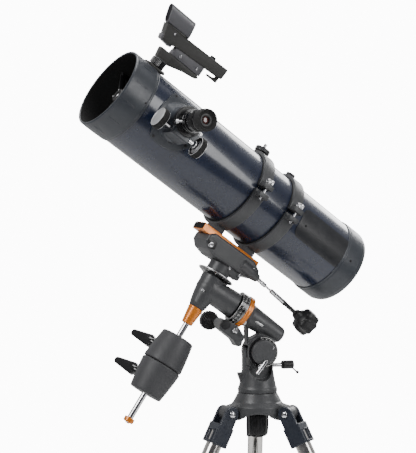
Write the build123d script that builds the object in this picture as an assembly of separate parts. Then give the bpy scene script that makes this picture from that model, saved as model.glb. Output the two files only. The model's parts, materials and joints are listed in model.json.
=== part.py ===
from build123d import *
import math
import os

# Newtonian reflector on a German equatorial mount and a three-legged tripod.
# Millimetres, +Z up, origin on the floor at the tripod's vertical axis.

# Fits
RUN = 0.05  # radial clearance of a running fit
GAP = 0.3  # space between faces that pass each other

# Tripod
leg_azimuths = {"left": 210, "right": 330, "rear": 90}
leg_tilt = 27.5  # from the vertical
hinge_radius = 70
hinge_height = 640
hub_top = 678
hub_radius = 39.5
hub_skirt_radius = 54
hub_floor = 640  # underside of the hub's middle
hub_skirt_bottom = 628
arch_radius = 56  # of the skirt's edge between two legs
lug_half_width = 12
lug_radius = 14
bolt_radius = 4
leg_tube_radius = 15.875  # 1.25 inch steel tube
leg_tube_wall = 1.4
leg_tube_top = 34  # stations are measured down the leg from the hinge
leg_tube_bottom = 612
clamp_top = 596
clamp_bottom = 652
leg_knob_station = 632
extension_radius = 14.1
extension_wall = 1.5
extension_top = 180
extension_bottom = 706
foot_top = 686
foot_radius = 18.5
brace_station = 400
brace_offset = 28  # of the outer pivot, inward from the leg's axis
brace_droop = 29  # of an arm, below the horizontal
brace_pivot_radius = 3
arm_width = 14
arm_thickness = 3
inner_pivot_radius = 35
tray_rise = 18  # tray underside above the inner pivots

# Mount directions
latitude = 33
heading = 16.7  # of the polar axis, from -X towards -Y
hour_turn = 2.7  # of the counterweight shaft about the polar axis
declination_turn = 12.6  # of the tube from the polar axis
axis_height = 819  # where the polar axis crosses the tripod's axis
crossing = 123.7  # from there up to the declination axis
tube_offset = 196.7  # from the polar axis to the tube's axis

# Mount
column_radius = 31.5
column_top = 769
shoulder_height = 731
tongue_half_width = 13
tongue_radius = 24
pivot_x = -4
pivot_height = 759
hinge_disc_radius = 31
boss_radius = 24
polar_shaft_radius = 10
spigot_radius = 20
circle_start = 65.7  # stations down the polar axis
circle_end = 83.7
clamp_ring_end = 94
barrel_end = 182
worm_x = 72  # axis of the right ascension worm
worm_height = 815
dec_shaft_radius = 9
dec_spigot_radius = 16
dec_circle_radius = 38
shaft_radius = 6
collar_top = -46  # stations up the declination axis
collar_bottom = -82
weight_top = -113
weight_joint = -176
weight_bottom = -240
shaft_end = -300
weight_knob_turn = -65
saddle_half_width = 30
bar_half_width = 21.5
bar_bottom = 84.3
bar_top = 100
bar_front = 88
bar_rear = -60
control_start = (-66, 25, 70)
control_droop = 4.6

# Optical tube, along its own axis from the declination axis
tube_radius = 80.5
tube_wall = 1.5
tube_front = 392
tube_rear = -232
tube_panels = 8  # the rolled tube is kept as this many panels, edge to edge
cell_radius = 83
cell_front = 400
front_cell_back = 343
rear_cell_front = -185
rear_cell_back = -241
mirror_back = -212
spider_station = 368
ring_stations = {"front": 54, "rear": -30}
ring_inner = 81
ring_outer = 88
ring_half_width = 13
ring_hinge_y = 94
ring_screw_y = -96
ring_screw_radius = 2.5
focuser_station = 277
focuser_turn = 4  # about the tube, from the side towards the far ring half
draw_radius = 19
draw_end = 148
eyepiece_radius = 15.85
pinion_height = 115
pinion_offset = 25.1
pinion_radius = 6
finder_turn = -13.6
finder_rail_bottom = 122.5


# Directions and frames
def sine(angle):
    return math.sin(math.radians(angle))


def cosine(angle):
    return math.cos(math.radians(angle))


def frame(origin, x_dir, z_dir):
    return Plane(origin=origin, x_dir=x_dir, z_dir=z_dir).location


up = Vector(0, 0, 1)
uphill = Vector(-cosine(heading), -sine(heading), 0)
pole = uphill * cosine(latitude) + up * sine(latitude)
home = up * cosine(latitude) - uphill * sine(latitude)
dec_axis = home * cosine(hour_turn) + pole.cross(home) * sine(hour_turn)
tube_axis = pole * cosine(declination_turn) + dec_axis.cross(pole) * sine(declination_turn)
axes_meet = up * axis_height + pole * crossing
tube_centre = axes_meet + dec_axis * tube_offset

level = frame((0, 0, 0), uphill, up)
polar = frame(axes_meet, dec_axis, pole)
declination = frame(axes_meet, tube_axis, dec_axis)
optical = frame(tube_centre, dec_axis, tube_axis)
level_polar = frame(
    (crossing * cosine(latitude), 0, axis_height + crossing * sine(latitude)),
    (-sine(latitude), 0, cosine(latitude)),
    (cosine(latitude), 0, sine(latitude)),
)
focuser = optical * frame((0, 0, focuser_station), (0, 0, 1), (sine(focuser_turn), -cosine(focuser_turn), 0))
finder = optical * frame((0, 0, 0), (0, 0, 1), (cosine(finder_turn), sine(finder_turn), 0))


# Plain shapes
def rod(radius, start, end):
    return Pos(0, 0, (start + end) / 2) * Cylinder(radius, abs(end - start))


def rod_x(radius, start, end, y=0, z=0):
    return Pos(0, y, z) * Rot(0, 90, 0) * rod(radius, start, end)


def rod_y(radius, start, end, x=0, z=0):
    return Pos(x, 0, z) * Rot(-90, 0, 0) * rod(radius, start, end)


def pipe(outer, inner, start, end):
    return rod(outer, start, end) - rod(inner, start - 1, end + 1)


def block(x0, x1, y0, y1, z0, z1):
    middle = Pos((x0 + x1) / 2, (y0 + y1) / 2, (z0 + z1) / 2)
    return middle * Box(x1 - x0, y1 - y0, z1 - z0)


def turned(*points):
    return revolve(Plane.XZ * Polygon(*points, align=None), Axis.Z)


def plate(y0, y1, *points):
    return extrude(Plane.XZ.offset(-y0) * Polygon(*points, align=None), y1 - y0, dir=(0, 1, 0))


def fluted(radius, start, end, flutes, flute_radius, inset=0.35):
    body = rod(radius, start, end)
    for turn in range(flutes):
        flute = Pos(radius + flute_radius * inset, 0, 0) * rod(flute_radius, start - 1, end + 1)
        body -= Rot(0, 0, 360 * turn / flutes) * flute
    return body


# Tripod head
def leg_frame(azimuth):
    radial = Vector(cosine(azimuth), sine(azimuth), 0)
    along = radial * sine(leg_tilt) - up * cosine(leg_tilt)
    pin = up.cross(radial)
    return frame(radial * hinge_radius + up * hinge_height, pin, along)


def tripod_hub():
    body = turned(
        (0, hub_floor),
        (hub_skirt_radius - 7, hub_floor),
        (hub_skirt_radius - 7, hub_skirt_bottom),
        (hub_skirt_radius, hub_skirt_bottom),
        (hub_skirt_radius, 652),
        (47, 661),
        (46, 664),
        (hub_radius + 1, 674),
        (hub_radius, 675),
        (hub_radius, hub_top),
        (0, hub_top),
    )
    for azimuth in leg_azimuths.values():
        body -= Rot(0, 0, azimuth) * rod_x(arch_radius, -80, 0, 0, hub_floor - arch_radius)
    for azimuth in leg_azimuths.values():
        lug = plate(
            -lug_half_width,
            lug_half_width,
            (27, hub_floor + 2),
            (34, 630),
            (48, 626),
            (hinge_radius, 626),
            (hinge_radius, 654),
            (44, 660),
            (27, 660),
        )
        lug += rod_y(lug_radius, -lug_half_width, lug_half_width, hinge_radius, hinge_height)
        body += Rot(0, 0, azimuth) * lug
    for azimuth in leg_azimuths.values():
        body -= Rot(0, 0, azimuth) * rod_y(bolt_radius, -40, 40, hinge_radius, hinge_height)
    return body - rod(5.5, hub_floor - 1, hub_top + 1)


def leg_pivot_bolts():
    bolts = []
    for azimuth in leg_azimuths.values():
        bolt = rod_y(bolt_radius, -20, 20, hinge_radius, hinge_height)
        for side in (-1, 1):
            low, high = sorted((19.3 * side, 23.3 * side))
            bolt += rod_y(6.5, low, high, hinge_radius, hinge_height)
        bolts.append(Rot(0, 0, azimuth) * bolt)
    return bolts


def hub_knob():
    grip = fluted(22.5, 600, 637 - GAP, 8, 7)
    grip += turned((0, 590), (15, 590), (20.5, 594), (20.5, 600), (0, 600))
    return grip + rod(5, 637 - GAP, 688)


# One leg, in its own frame: Z down the leg, Y outward, X along the hinge pin
def leg_castings():
    fork = block(-19, 19, -18, 18, 26, 66)
    for side in (-1, 1):
        inner = lug_half_width + GAP
        low, high = sorted((inner * side, 19 * side))
        fork += rod_x(15, low, high)
        fork += block(low, high, -15, 15, 0, 30)
    fork -= block(-10, 10, 16, 19, 40, 62)
    fork -= rod(leg_tube_radius, leg_tube_top, 70)
    fork -= rod_x(bolt_radius + RUN, -20, 20)
    clamp = rod(21, clamp_top, clamp_bottom) + block(-11, 11, 0, 30, 614, 650)
    clamp -= rod(leg_tube_radius, clamp_top - 1, leg_tube_bottom)
    clamp -= rod(extension_radius + 0.2, leg_tube_bottom - 1, clamp_bottom + 1)
    clamp -= rod_y(4 + RUN, 10, 31, 0, leg_knob_station)
    lug = rod(19.5, brace_station - 13, brace_station + 13)
    for side in (-1, 1):
        low, high = sorted((2.2 * side, 6.5 * side))
        lug += block(low, high, -brace_offset, -12, brace_station - 8, brace_station + 8)
        lug += rod_x(8, low, high, -brace_offset, brace_station)
    lug += rod_x(brace_pivot_radius - RUN, -8, 8, -brace_offset, brace_station)
    lug -= rod(leg_tube_radius, brace_station - 20, brace_station + 20)
    return [fork, clamp, lug]


def leg_tube():
    return pipe(leg_tube_radius, leg_tube_radius - leg_tube_wall, leg_tube_top, leg_tube_bottom)


def leg_knob():
    stud = rod(4, extension_radius + GAP, 33)
    knob = fluted(13, 31, 49, 8, 4)
    return Pos(0, 0, leg_knob_station) * Rot(-90, 0, 0) * (stud + knob)


def leg_extension():
    inner = extension_radius - extension_wall
    return pipe(extension_radius, inner, extension_top, extension_bottom)


def foot(place):
    body = rod(foot_radius, foot_top, 760) - rod(extension_radius, foot_top - 1, extension_bottom)
    below = block(-900, 900, -900, 900, -300, 0)
    return place * body - below


# Brace
def brace_pivots():
    outer_radius = hinge_radius + brace_station * sine(leg_tilt) - brace_offset * cosine(leg_tilt)
    outer_height = hinge_height - brace_station * cosine(leg_tilt) - brace_offset * sine(leg_tilt)
    inner_height = outer_height + (outer_radius - inner_pivot_radius) * math.tan(math.radians(brace_droop))
    return outer_radius, outer_height, inner_height


outer_radius, outer_height, inner_height = brace_pivots()


def brace_arm(azimuth):
    length = (outer_radius - inner_pivot_radius) / cosine(brace_droop)
    half = arm_width / 2
    arm = block(0, length, -arm_thickness / 2, arm_thickness / 2, -half, half)
    arm += rod_y(half, -arm_thickness / 2, arm_thickness / 2)
    arm += rod_y(half, -arm_thickness / 2, arm_thickness / 2, length)
    arm -= rod_y(brace_pivot_radius, -5, 5, length)
    return Rot(0, 0, azimuth) * Pos(inner_pivot_radius, 0, inner_height) * Rot(0, brace_droop, 0) * arm


def brace_hub():
    body = rod(14, inner_height - 14, inner_height + tray_rise)
    for azimuth in leg_azimuths.values():
        for side in (-1, 1):
            low, high = sorted((2.6 * side, 6 * side))
            cheek = block(8, 43, low, high, inner_height - 11, inner_height + 10)
            rivet = rod_y(4, low, high + 1.6, inner_pivot_radius, inner_height)
            if side < 0:
                rivet = rod_y(4, low - 1.6, high, inner_pivot_radius, inner_height)
            body += Rot(0, 0, azimuth) * (cheek + rivet)
    return body - rod(3, inner_height - 20, inner_height + 40)


def accessory_tray():
    base = inner_height + tray_rise
    outline = RegularPolygon(120, 3, rotation=30)
    corners = fillet(outline.vertices(), 14)
    tray = extrude(Pos(0, 0, base) * corners, 4)
    rim = offset(corners, amount=-4, kind=Kind.INTERSECTION)
    tray += extrude(Pos(0, 0, base + 4) * (corners - rim), 5)
    for azimuth in leg_azimuths.values():
        for reach, radius in ((72, 16.1), (42, 10)):
            hole = Rot(0, 0, azimuth + 180) * Pos(reach, 0, 0) * rod(radius, base - 1, base + 20)
            tray -= hole
    return tray - rod(3, base - 1, base + 20)


# Mount base, in the level frame: X uphill towards the pole, Y to the side of the clamp bolt
def mount_base():
    floor = hub_top + 0.2
    body = turned(
        (0, floor),
        (hub_radius, floor),
        (hub_radius, floor + 8),
        (hub_radius - 2, floor + 11),
        (column_radius + 3, 704),
        (column_radius, 722),
        (column_radius, column_top),
        (0, column_top),
    )
    body -= block(-40, 27.5, -40, 40, shoulder_height, column_top + 1)
    pocket_floor = 703 + 23
    for side in (-1, 1):
        low, high = sorted((tongue_half_width * side, 45 * side))
        body -= rod_y(23, low, high, 0, pocket_floor)
        body -= block(-23, 23, low, high, pocket_floor, column_top + 1)
        body -= rod_y(hinge_disc_radius + 1, low, high, pivot_x, pivot_height)
    tongue = rod_y(tongue_radius, -tongue_half_width, tongue_half_width, pivot_x, pivot_height)
    tongue += block(
        pivot_x - tongue_radius,
        pivot_x + tongue_radius,
        -tongue_half_width,
        tongue_half_width,
        shoulder_height - 8,
        pivot_height,
    )
    body += tongue
    lug = plate(-6, 6, (28, 692), (34, 694), (42, 715), (42, 718), (28, 718))
    body += lug
    body -= rod_y(5 + RUN, -40, 40, pivot_x, pivot_height)
    body -= rod_y(4 + RUN, 0, 40, 4, shoulder_height)
    body -= rod_x(4 + RUN, -40, -12, 0, 730)
    return body - rod(5 + RUN, floor - 1, 692)


def latitude_front_bolt():
    screw = rod_y(4, 1, 38, 0, 0)
    bar = Rot(0, -38, 0) * rod(3.7, -17, 17)
    return Pos(4, 0, shoulder_height) * (screw + Pos(0, 38.4, 0) * bar)


def latitude_rear_bolt():
    screw = rod_x(4, -52, -13)
    knob = rod_x(8.5, -76, -51)
    bar = Pos(-66, 0, 0) * Rot(0, 0, 26) * Rot(-118, 0, 0) * rod(1.7, 0, 27)
    ball = Pos(-66, 0, 0) * Rot(0, 0, 26) * Rot(-118, 0, 0) * Pos(0, 0, 28) * Sphere(3.2)
    return Pos(0, 0, 730) * (screw + knob + bar + ball)


def polar_housing():
    barrel = level_polar * turned(
        (0, -circle_start),
        (spigot_radius, -circle_start),
        (spigot_radius, -clamp_ring_end),
        (28, -clamp_ring_end),
        (28, -clamp_ring_end - 3),
        (24, -clamp_ring_end - 7),
        (17, 4 - barrel_end),
        (14, -barrel_end),
        (0, -barrel_end),
    )
    hinge = rod_y(hinge_disc_radius, 14, 24, pivot_x, pivot_height)
    hinge += rod_y(boss_radius, 24, 34, pivot_x, pivot_height)
    hinge += rod_y(hinge_disc_radius, -24, -14, pivot_x, pivot_height)
    hinge -= block(-60, 60, 13, 24, 720, 745) + block(-60, 60, -24, -13, 720, 745)
    hinge += rod_y(boss_radius, 14, 24, pivot_x, pivot_height)
    hinge += rod_y(boss_radius, -24, -14, pivot_x, pivot_height)
    bridge = rod_y(hinge_disc_radius, -24, 24, pivot_x, pivot_height)
    bridge -= block(-60, 60, -30, 30, 700, pivot_height + 12)
    web = plate(
        -12,
        12,
        (-31, 776),
        (-40, 790),
        (0, 812),
        (44, 842),
        (40, 826),
        (26, 812),
        (25, 775),
        (10, 770),
        (-20, 770),
    )
    web -= plate(-20, 20, (22, 782), (22, 812), (-2, 796))
    web -= level_polar * rod(36, -clamp_ring_end, 0)
    body = barrel + hinge + bridge + web
    body -= rod_y(tongue_radius + 1, -14, 14, pivot_x, pivot_height)
    body -= level_polar * rod(polar_shaft_radius + RUN, -circle_start + 1, -176)
    body += rod_y(5, -30, 30, pivot_x, pivot_height)
    return body


def ra_worm_housing():
    outline = ((40, 771), (48, 771), (56, 784), (84, 806), (84, 815), (78, 824), (64, 826), (44, 808), (32, 790))
    body = plate(-17, 17, *outline)
    body += rod_y(11, -30, 17, worm_x, worm_height)
    body -= plate(-12, 12, (26, 812), (40, 826), (44, 842), (20, 842), (20, 770), (25, 775))
    body -= level_polar * rod(36, 0, -110)
    return body - rod_y(4 + RUN, -40, 8, worm_x, worm_height)


def ra_knob():
    shaft = rod_y(4, -88, 6)
    collar = rod_y(6, -48, -32)
    knob = Pos(0, -104, 0) * Rot(-90, 0, 0) * fluted(20, 0, 16, 18, 2.2)
    return Pos(worm_x, 0, worm_height) * (shaft + collar + knob)


def ra_circle():
    return pipe(32.5, spigot_radius + RUN, -circle_end, -circle_start)


def ra_clamp_ring():
    ring = pipe(34, spigot_radius, -clamp_ring_end, -circle_end - GAP)
    return ring


# Declination assembly, Z up the declination axis
def dec_housing():
    barrel = turned(
        (0, collar_top),
        (15, collar_top),
        (18, -38),
        (22, -16),
        (24, 10),
        (25, 24),
        (dec_spigot_radius, 24),
        (dec_spigot_radius, 33),
        (0, 33),
    )
    branch = Rot(0, -90, 0) * turned(
        (0, 0),
        (25.5, 0),
        (25.5, 30),
        (27, circle_start - 2),
        (27, circle_start - 0.5),
        (0, circle_start - 0.5),
    )
    shaft = rod_x(polar_shaft_radius, -174, -60)
    body = barrel + branch + Sphere(24) + shaft
    body -= rod(dec_shaft_radius + RUN, -20, 40)
    return body - rod(shaft_radius, collar_top - 1, collar_top + 14)


def shaft_collar():
    return turned((shaft_radius, collar_top), (15.5, collar_top), (11, collar_bottom), (shaft_radius, collar_bottom))


def counterweight_shaft():
    return rod(shaft_radius, shaft_end, collar_top + 14)


def shaft_stop():
    stop = turned(
        (0, shaft_end - 4),
        (8.5, shaft_end - 4),
        (10.5, shaft_end - 2),
        (10.5, shaft_end + 6),
        (0, shaft_end + 6),
    )
    return stop - rod(shaft_radius, shaft_end, shaft_end + 8)


def weight(top, bottom, top_radius, bottom_radius):
    edge = 2.5
    body = turned(
        (shaft_radius + GAP, bottom),
        (bottom_radius - edge, bottom),
        (bottom_radius, bottom + edge),
        (top_radius, top - edge),
        (top_radius - edge, top),
        (shaft_radius + GAP, top),
    )
    middle = (top + bottom) / 2
    hole = Pos(0, 0, middle) * Rot(0, 0, weight_knob_turn) * rod_x(4 + RUN, 0, 60)
    flat = Pos(0, 0, middle) * Rot(0, 0, weight_knob_turn) * rod_x(9, 35.5, 60)
    return body - hole - flat


def weight_knob(top, bottom):
    stud = rod_x(4, shaft_radius + GAP + 0.2, 44)
    neck = rod_x(7, 36, 50)
    half = 6.5
    inner = Pos(58, 0) * CenterArc((0, 0), 13.5, 0, 360)
    tip = Pos(98, 0) * CenterArc((0, 0), 7, 0, 360)
    wing = Rot(90, 0, 0) * extrude(Pos(0, 0, -half) * make_hull([inner, tip]), 2 * half)
    knob = stud + neck + wing
    return Pos(0, 0, (top + bottom) / 2) * Rot(0, 0, weight_knob_turn) * knob


def dec_circle():
    return turned(
        (dec_spigot_radius + RUN, 26),
        (30, 26),
        (dec_circle_radius, 29.5),
        (dec_circle_radius, 31.5),
        (34, 32.5),
        (dec_spigot_radius + RUN, 32.5),
    )


def dec_saddle():
    body = plate(
        -saddle_half_width,
        saddle_half_width,
        (-62, 61),
        (-40, 57),
        (38, 53),
        (60, 58),
        (72, 70),
        (72, 84),
        (60, 93),
        (-46, 94),
        (-66, 84),
        (-68, 70),
    )
    edges = body.edges().filter_by(Axis.Y, reverse=True)
    body = chamfer(edges, 3)
    body += rod(24, 33.5, 58)
    body += block(-38, 0, 2, 22, 42, 58)
    body += place_control() * turned((0, 6), (8, 6), (12.5, -14), (12.5, -44), (0, -44))
    channel = bar_half_width + GAP
    body -= block(-100, 100, -channel, channel, bar_bottom - GAP, 120)
    body -= place_control() * rod(5 + RUN, -38, 10)
    return body + rod(dec_shaft_radius, -18, 60)


def place_control():
    along = (-cosine(control_droop), 0, -sine(control_droop))
    return frame(control_start, (0, 1, 0), along)


def dec_control():
    body = rod(5, -36, 8) + rod(4.4, 6.3, 31) + rod(2.2, 30, 50) + rod(4.8, 48, 86) + rod(4.5, 84, 140)
    body += turned((0, 126), (9, 126), (14, 140), (0, 140))
    body += fluted(26, 138, 172, 8, 7, 0.5)
    return place_control() * body


# Tube cradle, in the optical frame: Z towards the sky, X away from the mount
def dovetail_bar():
    low = bar_bottom - tube_offset
    high = bar_top - tube_offset
    half = bar_half_width
    profile = Polygon((low, -half), (high, -half + 3), (high, half - 3), (low, half), align=None)
    return extrude(Pos(0, 0, bar_rear) * profile, bar_front - bar_rear)


def ring_lug(low, high):
    lug = block(low, high, ring_screw_y - 8, -80, -11, 11)
    return lug - rod(ring_inner, -20, 20)


def lower_ring():
    ring = pipe(ring_outer, ring_inner, -ring_half_width, ring_half_width)
    ring -= block(2, 100, -100, 0, -20, 20)
    ring -= block(-GAP, 100, 0, 100, -20, 20)
    foot = block(bar_top - tube_offset, -84, -17, 17, -12, 12)
    ring += foot - rod(ring_inner, -20, 20)
    ring += ring_lug(-11, -2)
    ring -= rod_x(4, -30, 30, ring_screw_y)
    for low, high in ((-ring_half_width, -5), (5, ring_half_width)):
        ring += Pos(0, ring_hinge_y, 0) * rod(5, low, high)
        ring += block(-5, -GAP, 84, ring_hinge_y, low, high)
    return ring + Pos(0, ring_hinge_y, 0) * rod(2.5, -6, 6)


def upper_ring():
    ring = pipe(ring_outer, ring_inner, -ring_half_width, ring_half_width)
    ring -= block(-100, 10, -100, 0, -20, 20)
    ring -= block(-100, GAP, 0, 100, -20, 20)
    ring += ring_lug(9, 18)
    ring -= rod_x(ring_screw_radius + RUN, -30, 30, ring_screw_y)
    ring += Pos(0, ring_hinge_y, 0) * rod(5, -4.7, 4.7)
    ring += block(GAP, 5, 84, ring_hinge_y, -4.7, 4.7)
    return ring - Pos(0, ring_hinge_y, 0) * rod(2.5 + RUN, -20, 20)


def upper_ring_front():
    stud = rod_x(8, 86, 92) + rod_x(15.5, 91, 99) + rod_x(3.175, 98, 110)
    return Pos(0, 0, ring_stations["front"]) * (upper_ring() + stud)


def upper_ring_rear():
    cap = rod_x(7, 86, 91) + rod_x(9.5, 90, 95)
    return Pos(0, 0, ring_stations["rear"]) * (upper_ring() + cap)


def ring_screw():
    screw = rod_x(ring_screw_radius, -16, 21, ring_screw_y)
    return screw + Pos(0, ring_screw_y, 0) * Rot(0, 90, 0) * fluted(8.5, 20, 28, 14, 1.4)


# Optical tube
def main_tube():
    tube = pipe(tube_radius, tube_radius - tube_wall, tube_rear, tube_front)
    tube -= Rot(0, 0, focuser_turn) * rod_y(24, -100, -60, 0, focuser_station)
    width = 360 / tube_panels
    reach = 2 * tube_radius
    corner = (reach, reach * math.tan(math.radians(width / 2)))
    wedge = Polygon((0, 0), (corner[0], -corner[1]), corner, align=None)
    sector = extrude(Pos(0, 0, tube_rear - 1) * wedge, tube_front - tube_rear + 2)
    return [tube & Rot(0, 0, width * (turn + 0.5)) * sector for turn in range(tube_panels)]


def front_cell():
    cell = turned(
        (tube_radius, front_cell_back),
        (cell_radius - 1.5, front_cell_back),
        (cell_radius, front_cell_back + 2),
        (cell_radius, cell_front - 2),
        (cell_radius - 1, cell_front),
        (79.5, cell_front),
        (78.5, cell_front - 1),
        (78.5, tube_front),
        (tube_radius, tube_front),
    )
    return cell


def rear_cell():
    cell = turned(
        (tube_radius, rear_cell_front),
        (cell_radius - 1.5, rear_cell_front),
        (cell_radius, rear_cell_front - 2),
        (cell_radius, rear_cell_back + 12),
        (cell_radius - 3.5, rear_cell_back + 4),
        (cell_radius - 12, rear_cell_back),
        (0, rear_cell_back),
        (0, rear_cell_back + 5),
        (cell_radius - 12, rear_cell_back + 5),
        (tube_radius - tube_wall, tube_rear),
        (tube_radius, tube_rear),
    )
    cell += rod(68, mirror_back - 5, mirror_back)
    for turn in range(3):
        post = Pos(48, 0, 0) * rod(6, rear_cell_back + 4, mirror_back - 4)
        knob = Pos(48, 0, 0) * rod(7, rear_cell_back - 6, rear_cell_back + 1)
        cell += Rot(0, 0, 60 + 120 * turn) * (post + knob)
    return cell


def primary_mirror():
    return rod(65, mirror_back, mirror_back + 19)


def spider():
    hub = rod(14, spider_station - 8, spider_station + 8) + rod(6, 302, spider_station)
    for turn in range(3):
        vane = block(12, tube_radius - tube_wall, -1, 1, spider_station - 6, spider_station + 6)
        hub += Rot(0, 0, 45 + 120 * turn) * vane
    return hub & rod(tube_radius - tube_wall, 300, spider_station + 10)


def secondary_mirror():
    body = rod(17, focuser_station - 20, 302)
    cutter = Pos(0, 0, focuser_station) * Rot(-45, 0, 0) * block(-40, 40, -60, 60, -60, 0)
    return body - Rot(0, 0, focuser_turn) * cutter


# Focuser, in its own frame: Z outward, X towards the sky, Y towards the mount
def focuser_body():
    shell = Rot(0, 90, 0) * pipe(84, tube_radius, -60, 60)
    base = shell & (Pos(-3, 0, 0) * rod(49, 40, 90))
    neck = turned((0, 70), (38, 70), (38, 84), (28, 98), (27, 128), (0, 128))
    neck += block(-20, 20, 8, 36, 88, 126)
    neck -= rod_x(tube_radius, -80, 80)
    body = base + neck
    body -= rod(draw_radius + RUN, 40, 140)
    body -= rod_x(3 + RUN, -60, 60, pinion_offset, pinion_height)
    return body - rod_x(7, -9, 9, pinion_offset, pinion_height)


def draw_tube():
    tube = pipe(draw_radius, 16.2, 62, draw_end - 10)
    return tube + pipe(22, 16.2, draw_end - 13, draw_end)


def focus_knobs():
    body = rod_x(3, -56, 56) + rod_x(pinion_radius - 0.1, -8, 8)
    for side in (-1, 1):
        low, high = sorted((40 * side, 54 * side))
        body += rod_x(20.5, low, high)
        low, high = sorted((34 * side, 41 * side))
        body += rod_x(8, low, high)
    return Pos(0, pinion_offset, pinion_height) * body


def eyepiece():
    body = turned(
        (7, GAP),
        (20, GAP),
        (20, 9),
        (18.5, 12),
        (18.5, 20),
        (20.5, 25),
        (20.5, 41),
        (18, 45),
        (9, 37),
        (7, 37),
    )
    return Pos(0, 0, draw_end) * (body + pipe(eyepiece_radius, 13.5, -28, 1))


# Finder, in its own frame: Z away from the tube's axis, X towards the sky
def finder_bracket():
    base = block(330, 370, -13, 13, 78, 86)
    body = base + Pos(350, 0, 0) * fluted(15, 85, 104, 16, 2.2)
    body += block(338, 364, -8, 8, 102, finder_rail_bottom)
    body += block(270, 340, -8, 8, 112, finder_rail_bottom)
    return body - rod_x(cell_radius, 300, 400)


def finder_body():
    rail = plate(-9.6, 9.6, (271, finder_rail_bottom), (343, finder_rail_bottom), (341, 139), (272, 144))
    shelf = plate(-10.5, 10.5, (352, 131), (378, 133), (381, 143), (352, 143))
    case = plate(-12, 12, (232, 145), (341, 137.6), (376, 134), (386, 163.5), (232, 167.5))
    hood = plate(-12.5, 12.5, (333.3, 163.2), (340, 196.8), (398, 196.8), (386, 163.2))
    hood -= plate(-10.9, 10.9, (340, 165), (344, 195.2), (399, 195.2), (388, 165))
    switch = Pos(267.5, 0, 0) * rod(6, 164, 170.5)
    latch = block(240, 257, -5, 5, 134, 138) + block(236, 241, -5, 5, 134, 148)
    return rail + shelf + case + hood + switch + latch


def build():
    nodes = {
        "tripod_hub": tripod_hub(),
        "leg_pivot_bolts": leg_pivot_bolts(),
        "hub_knob": hub_knob(),
        "brace_hub": brace_hub(),
        "accessory_tray": accessory_tray(),
    }
    for side, azimuth in leg_azimuths.items():
        place = leg_frame(azimuth)
        nodes[side + "_leg_castings"] = [place * piece for piece in leg_castings()]
        nodes[side + "_leg_tube"] = place * leg_tube()
        nodes[side + "_leg_knob"] = place * leg_knob()
        nodes[side + "_leg_extension"] = place * leg_extension()
        nodes[side + "_foot"] = foot(place)
        nodes[side + "_brace_arm"] = brace_arm(azimuth)
    for maker in (
        mount_base,
        latitude_front_bolt,
        latitude_rear_bolt,
        polar_housing,
        ra_worm_housing,
        ra_knob,
    ):
        nodes[maker.__name__] = level * maker()
    nodes["ra_circle"] = polar * ra_circle()
    nodes["ra_clamp_ring"] = polar * ra_clamp_ring()
    branch_frame = frame(axes_meet, pole, dec_axis)
    nodes["dec_housing"] = branch_frame * dec_housing()
    for maker in (
        shaft_collar,
        counterweight_shaft,
        shaft_stop,
        dec_circle,
        dec_saddle,
        dec_control,
    ):
        nodes[maker.__name__] = declination * maker()
    nodes["upper_weight"] = declination * weight(weight_top, weight_joint + 0.5, 33.5, 41)
    nodes["lower_weight"] = declination * weight(weight_joint - 0.5, weight_bottom, 41, 33.5)
    nodes["upper_weight_knob"] = declination * weight_knob(weight_top, weight_joint + 0.5)
    nodes["lower_weight_knob"] = declination * weight_knob(weight_joint - 0.5, weight_bottom)
    nodes["dovetail_bar"] = optical * dovetail_bar()
    nodes["lower_rings"] = [optical * Pos(0, 0, station) * lower_ring() for station in ring_stations.values()]
    nodes["main_tube"] = [optical * panel for panel in main_tube()]
    for maker in (
        upper_ring_front,
        upper_ring_rear,
        front_cell,
        rear_cell,
        primary_mirror,
        spider,
        secondary_mirror,
    ):
        nodes[maker.__name__] = optical * maker()
    for end, station in ring_stations.items():
        nodes["ring_screw_" + end] = optical * Pos(0, 0, station) * ring_screw()
    for maker in (focuser_body, draw_tube, focus_knobs, eyepiece):
        nodes[maker.__name__] = focuser * maker()
    for maker in (finder_bracket, finder_body):
        nodes[maker.__name__] = finder * maker()
    return nodes


def write(nodes):
    os.makedirs("parts", exist_ok=True)
    for name, shapes in nodes.items():
        pieces = shapes if isinstance(shapes, list) else [shapes]
        solids = [solid for piece in pieces for solid in piece.solids()]
        whole = solids[0] if len(solids) == 1 else Compound(solids)
        export_step(whole, "parts/" + name + ".step")


write(build())
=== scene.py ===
import json
import math
import bmesh
import bpy
from mathutils import Matrix, Vector


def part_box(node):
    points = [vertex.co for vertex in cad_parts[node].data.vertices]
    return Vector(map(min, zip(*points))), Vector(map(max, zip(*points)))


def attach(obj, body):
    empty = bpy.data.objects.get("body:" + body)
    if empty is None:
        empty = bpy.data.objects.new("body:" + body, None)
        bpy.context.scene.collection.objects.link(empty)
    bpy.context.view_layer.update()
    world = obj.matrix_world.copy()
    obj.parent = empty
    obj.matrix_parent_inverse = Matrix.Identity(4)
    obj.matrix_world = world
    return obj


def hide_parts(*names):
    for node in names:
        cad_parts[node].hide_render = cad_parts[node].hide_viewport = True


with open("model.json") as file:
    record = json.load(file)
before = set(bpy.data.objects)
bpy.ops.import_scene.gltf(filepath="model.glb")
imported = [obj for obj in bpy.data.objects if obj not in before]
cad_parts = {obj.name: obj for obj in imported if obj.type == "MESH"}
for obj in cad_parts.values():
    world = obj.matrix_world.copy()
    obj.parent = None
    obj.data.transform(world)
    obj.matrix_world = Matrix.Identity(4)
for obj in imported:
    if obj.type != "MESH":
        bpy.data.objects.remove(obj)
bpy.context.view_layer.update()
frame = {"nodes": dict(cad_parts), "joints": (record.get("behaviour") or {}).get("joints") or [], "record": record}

MM = 0.001
joints = {joint["name"]: joint for joint in frame["joints"]}
node_slots = {part["node"]: part["material_slot"] for part in frame["record"]["subparts"]}
LEGS = ("left", "right", "rear")


# Frames, all in millimetres, taken from the joints
def axis(name):
    return Vector(joints[name]["axis"])


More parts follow.
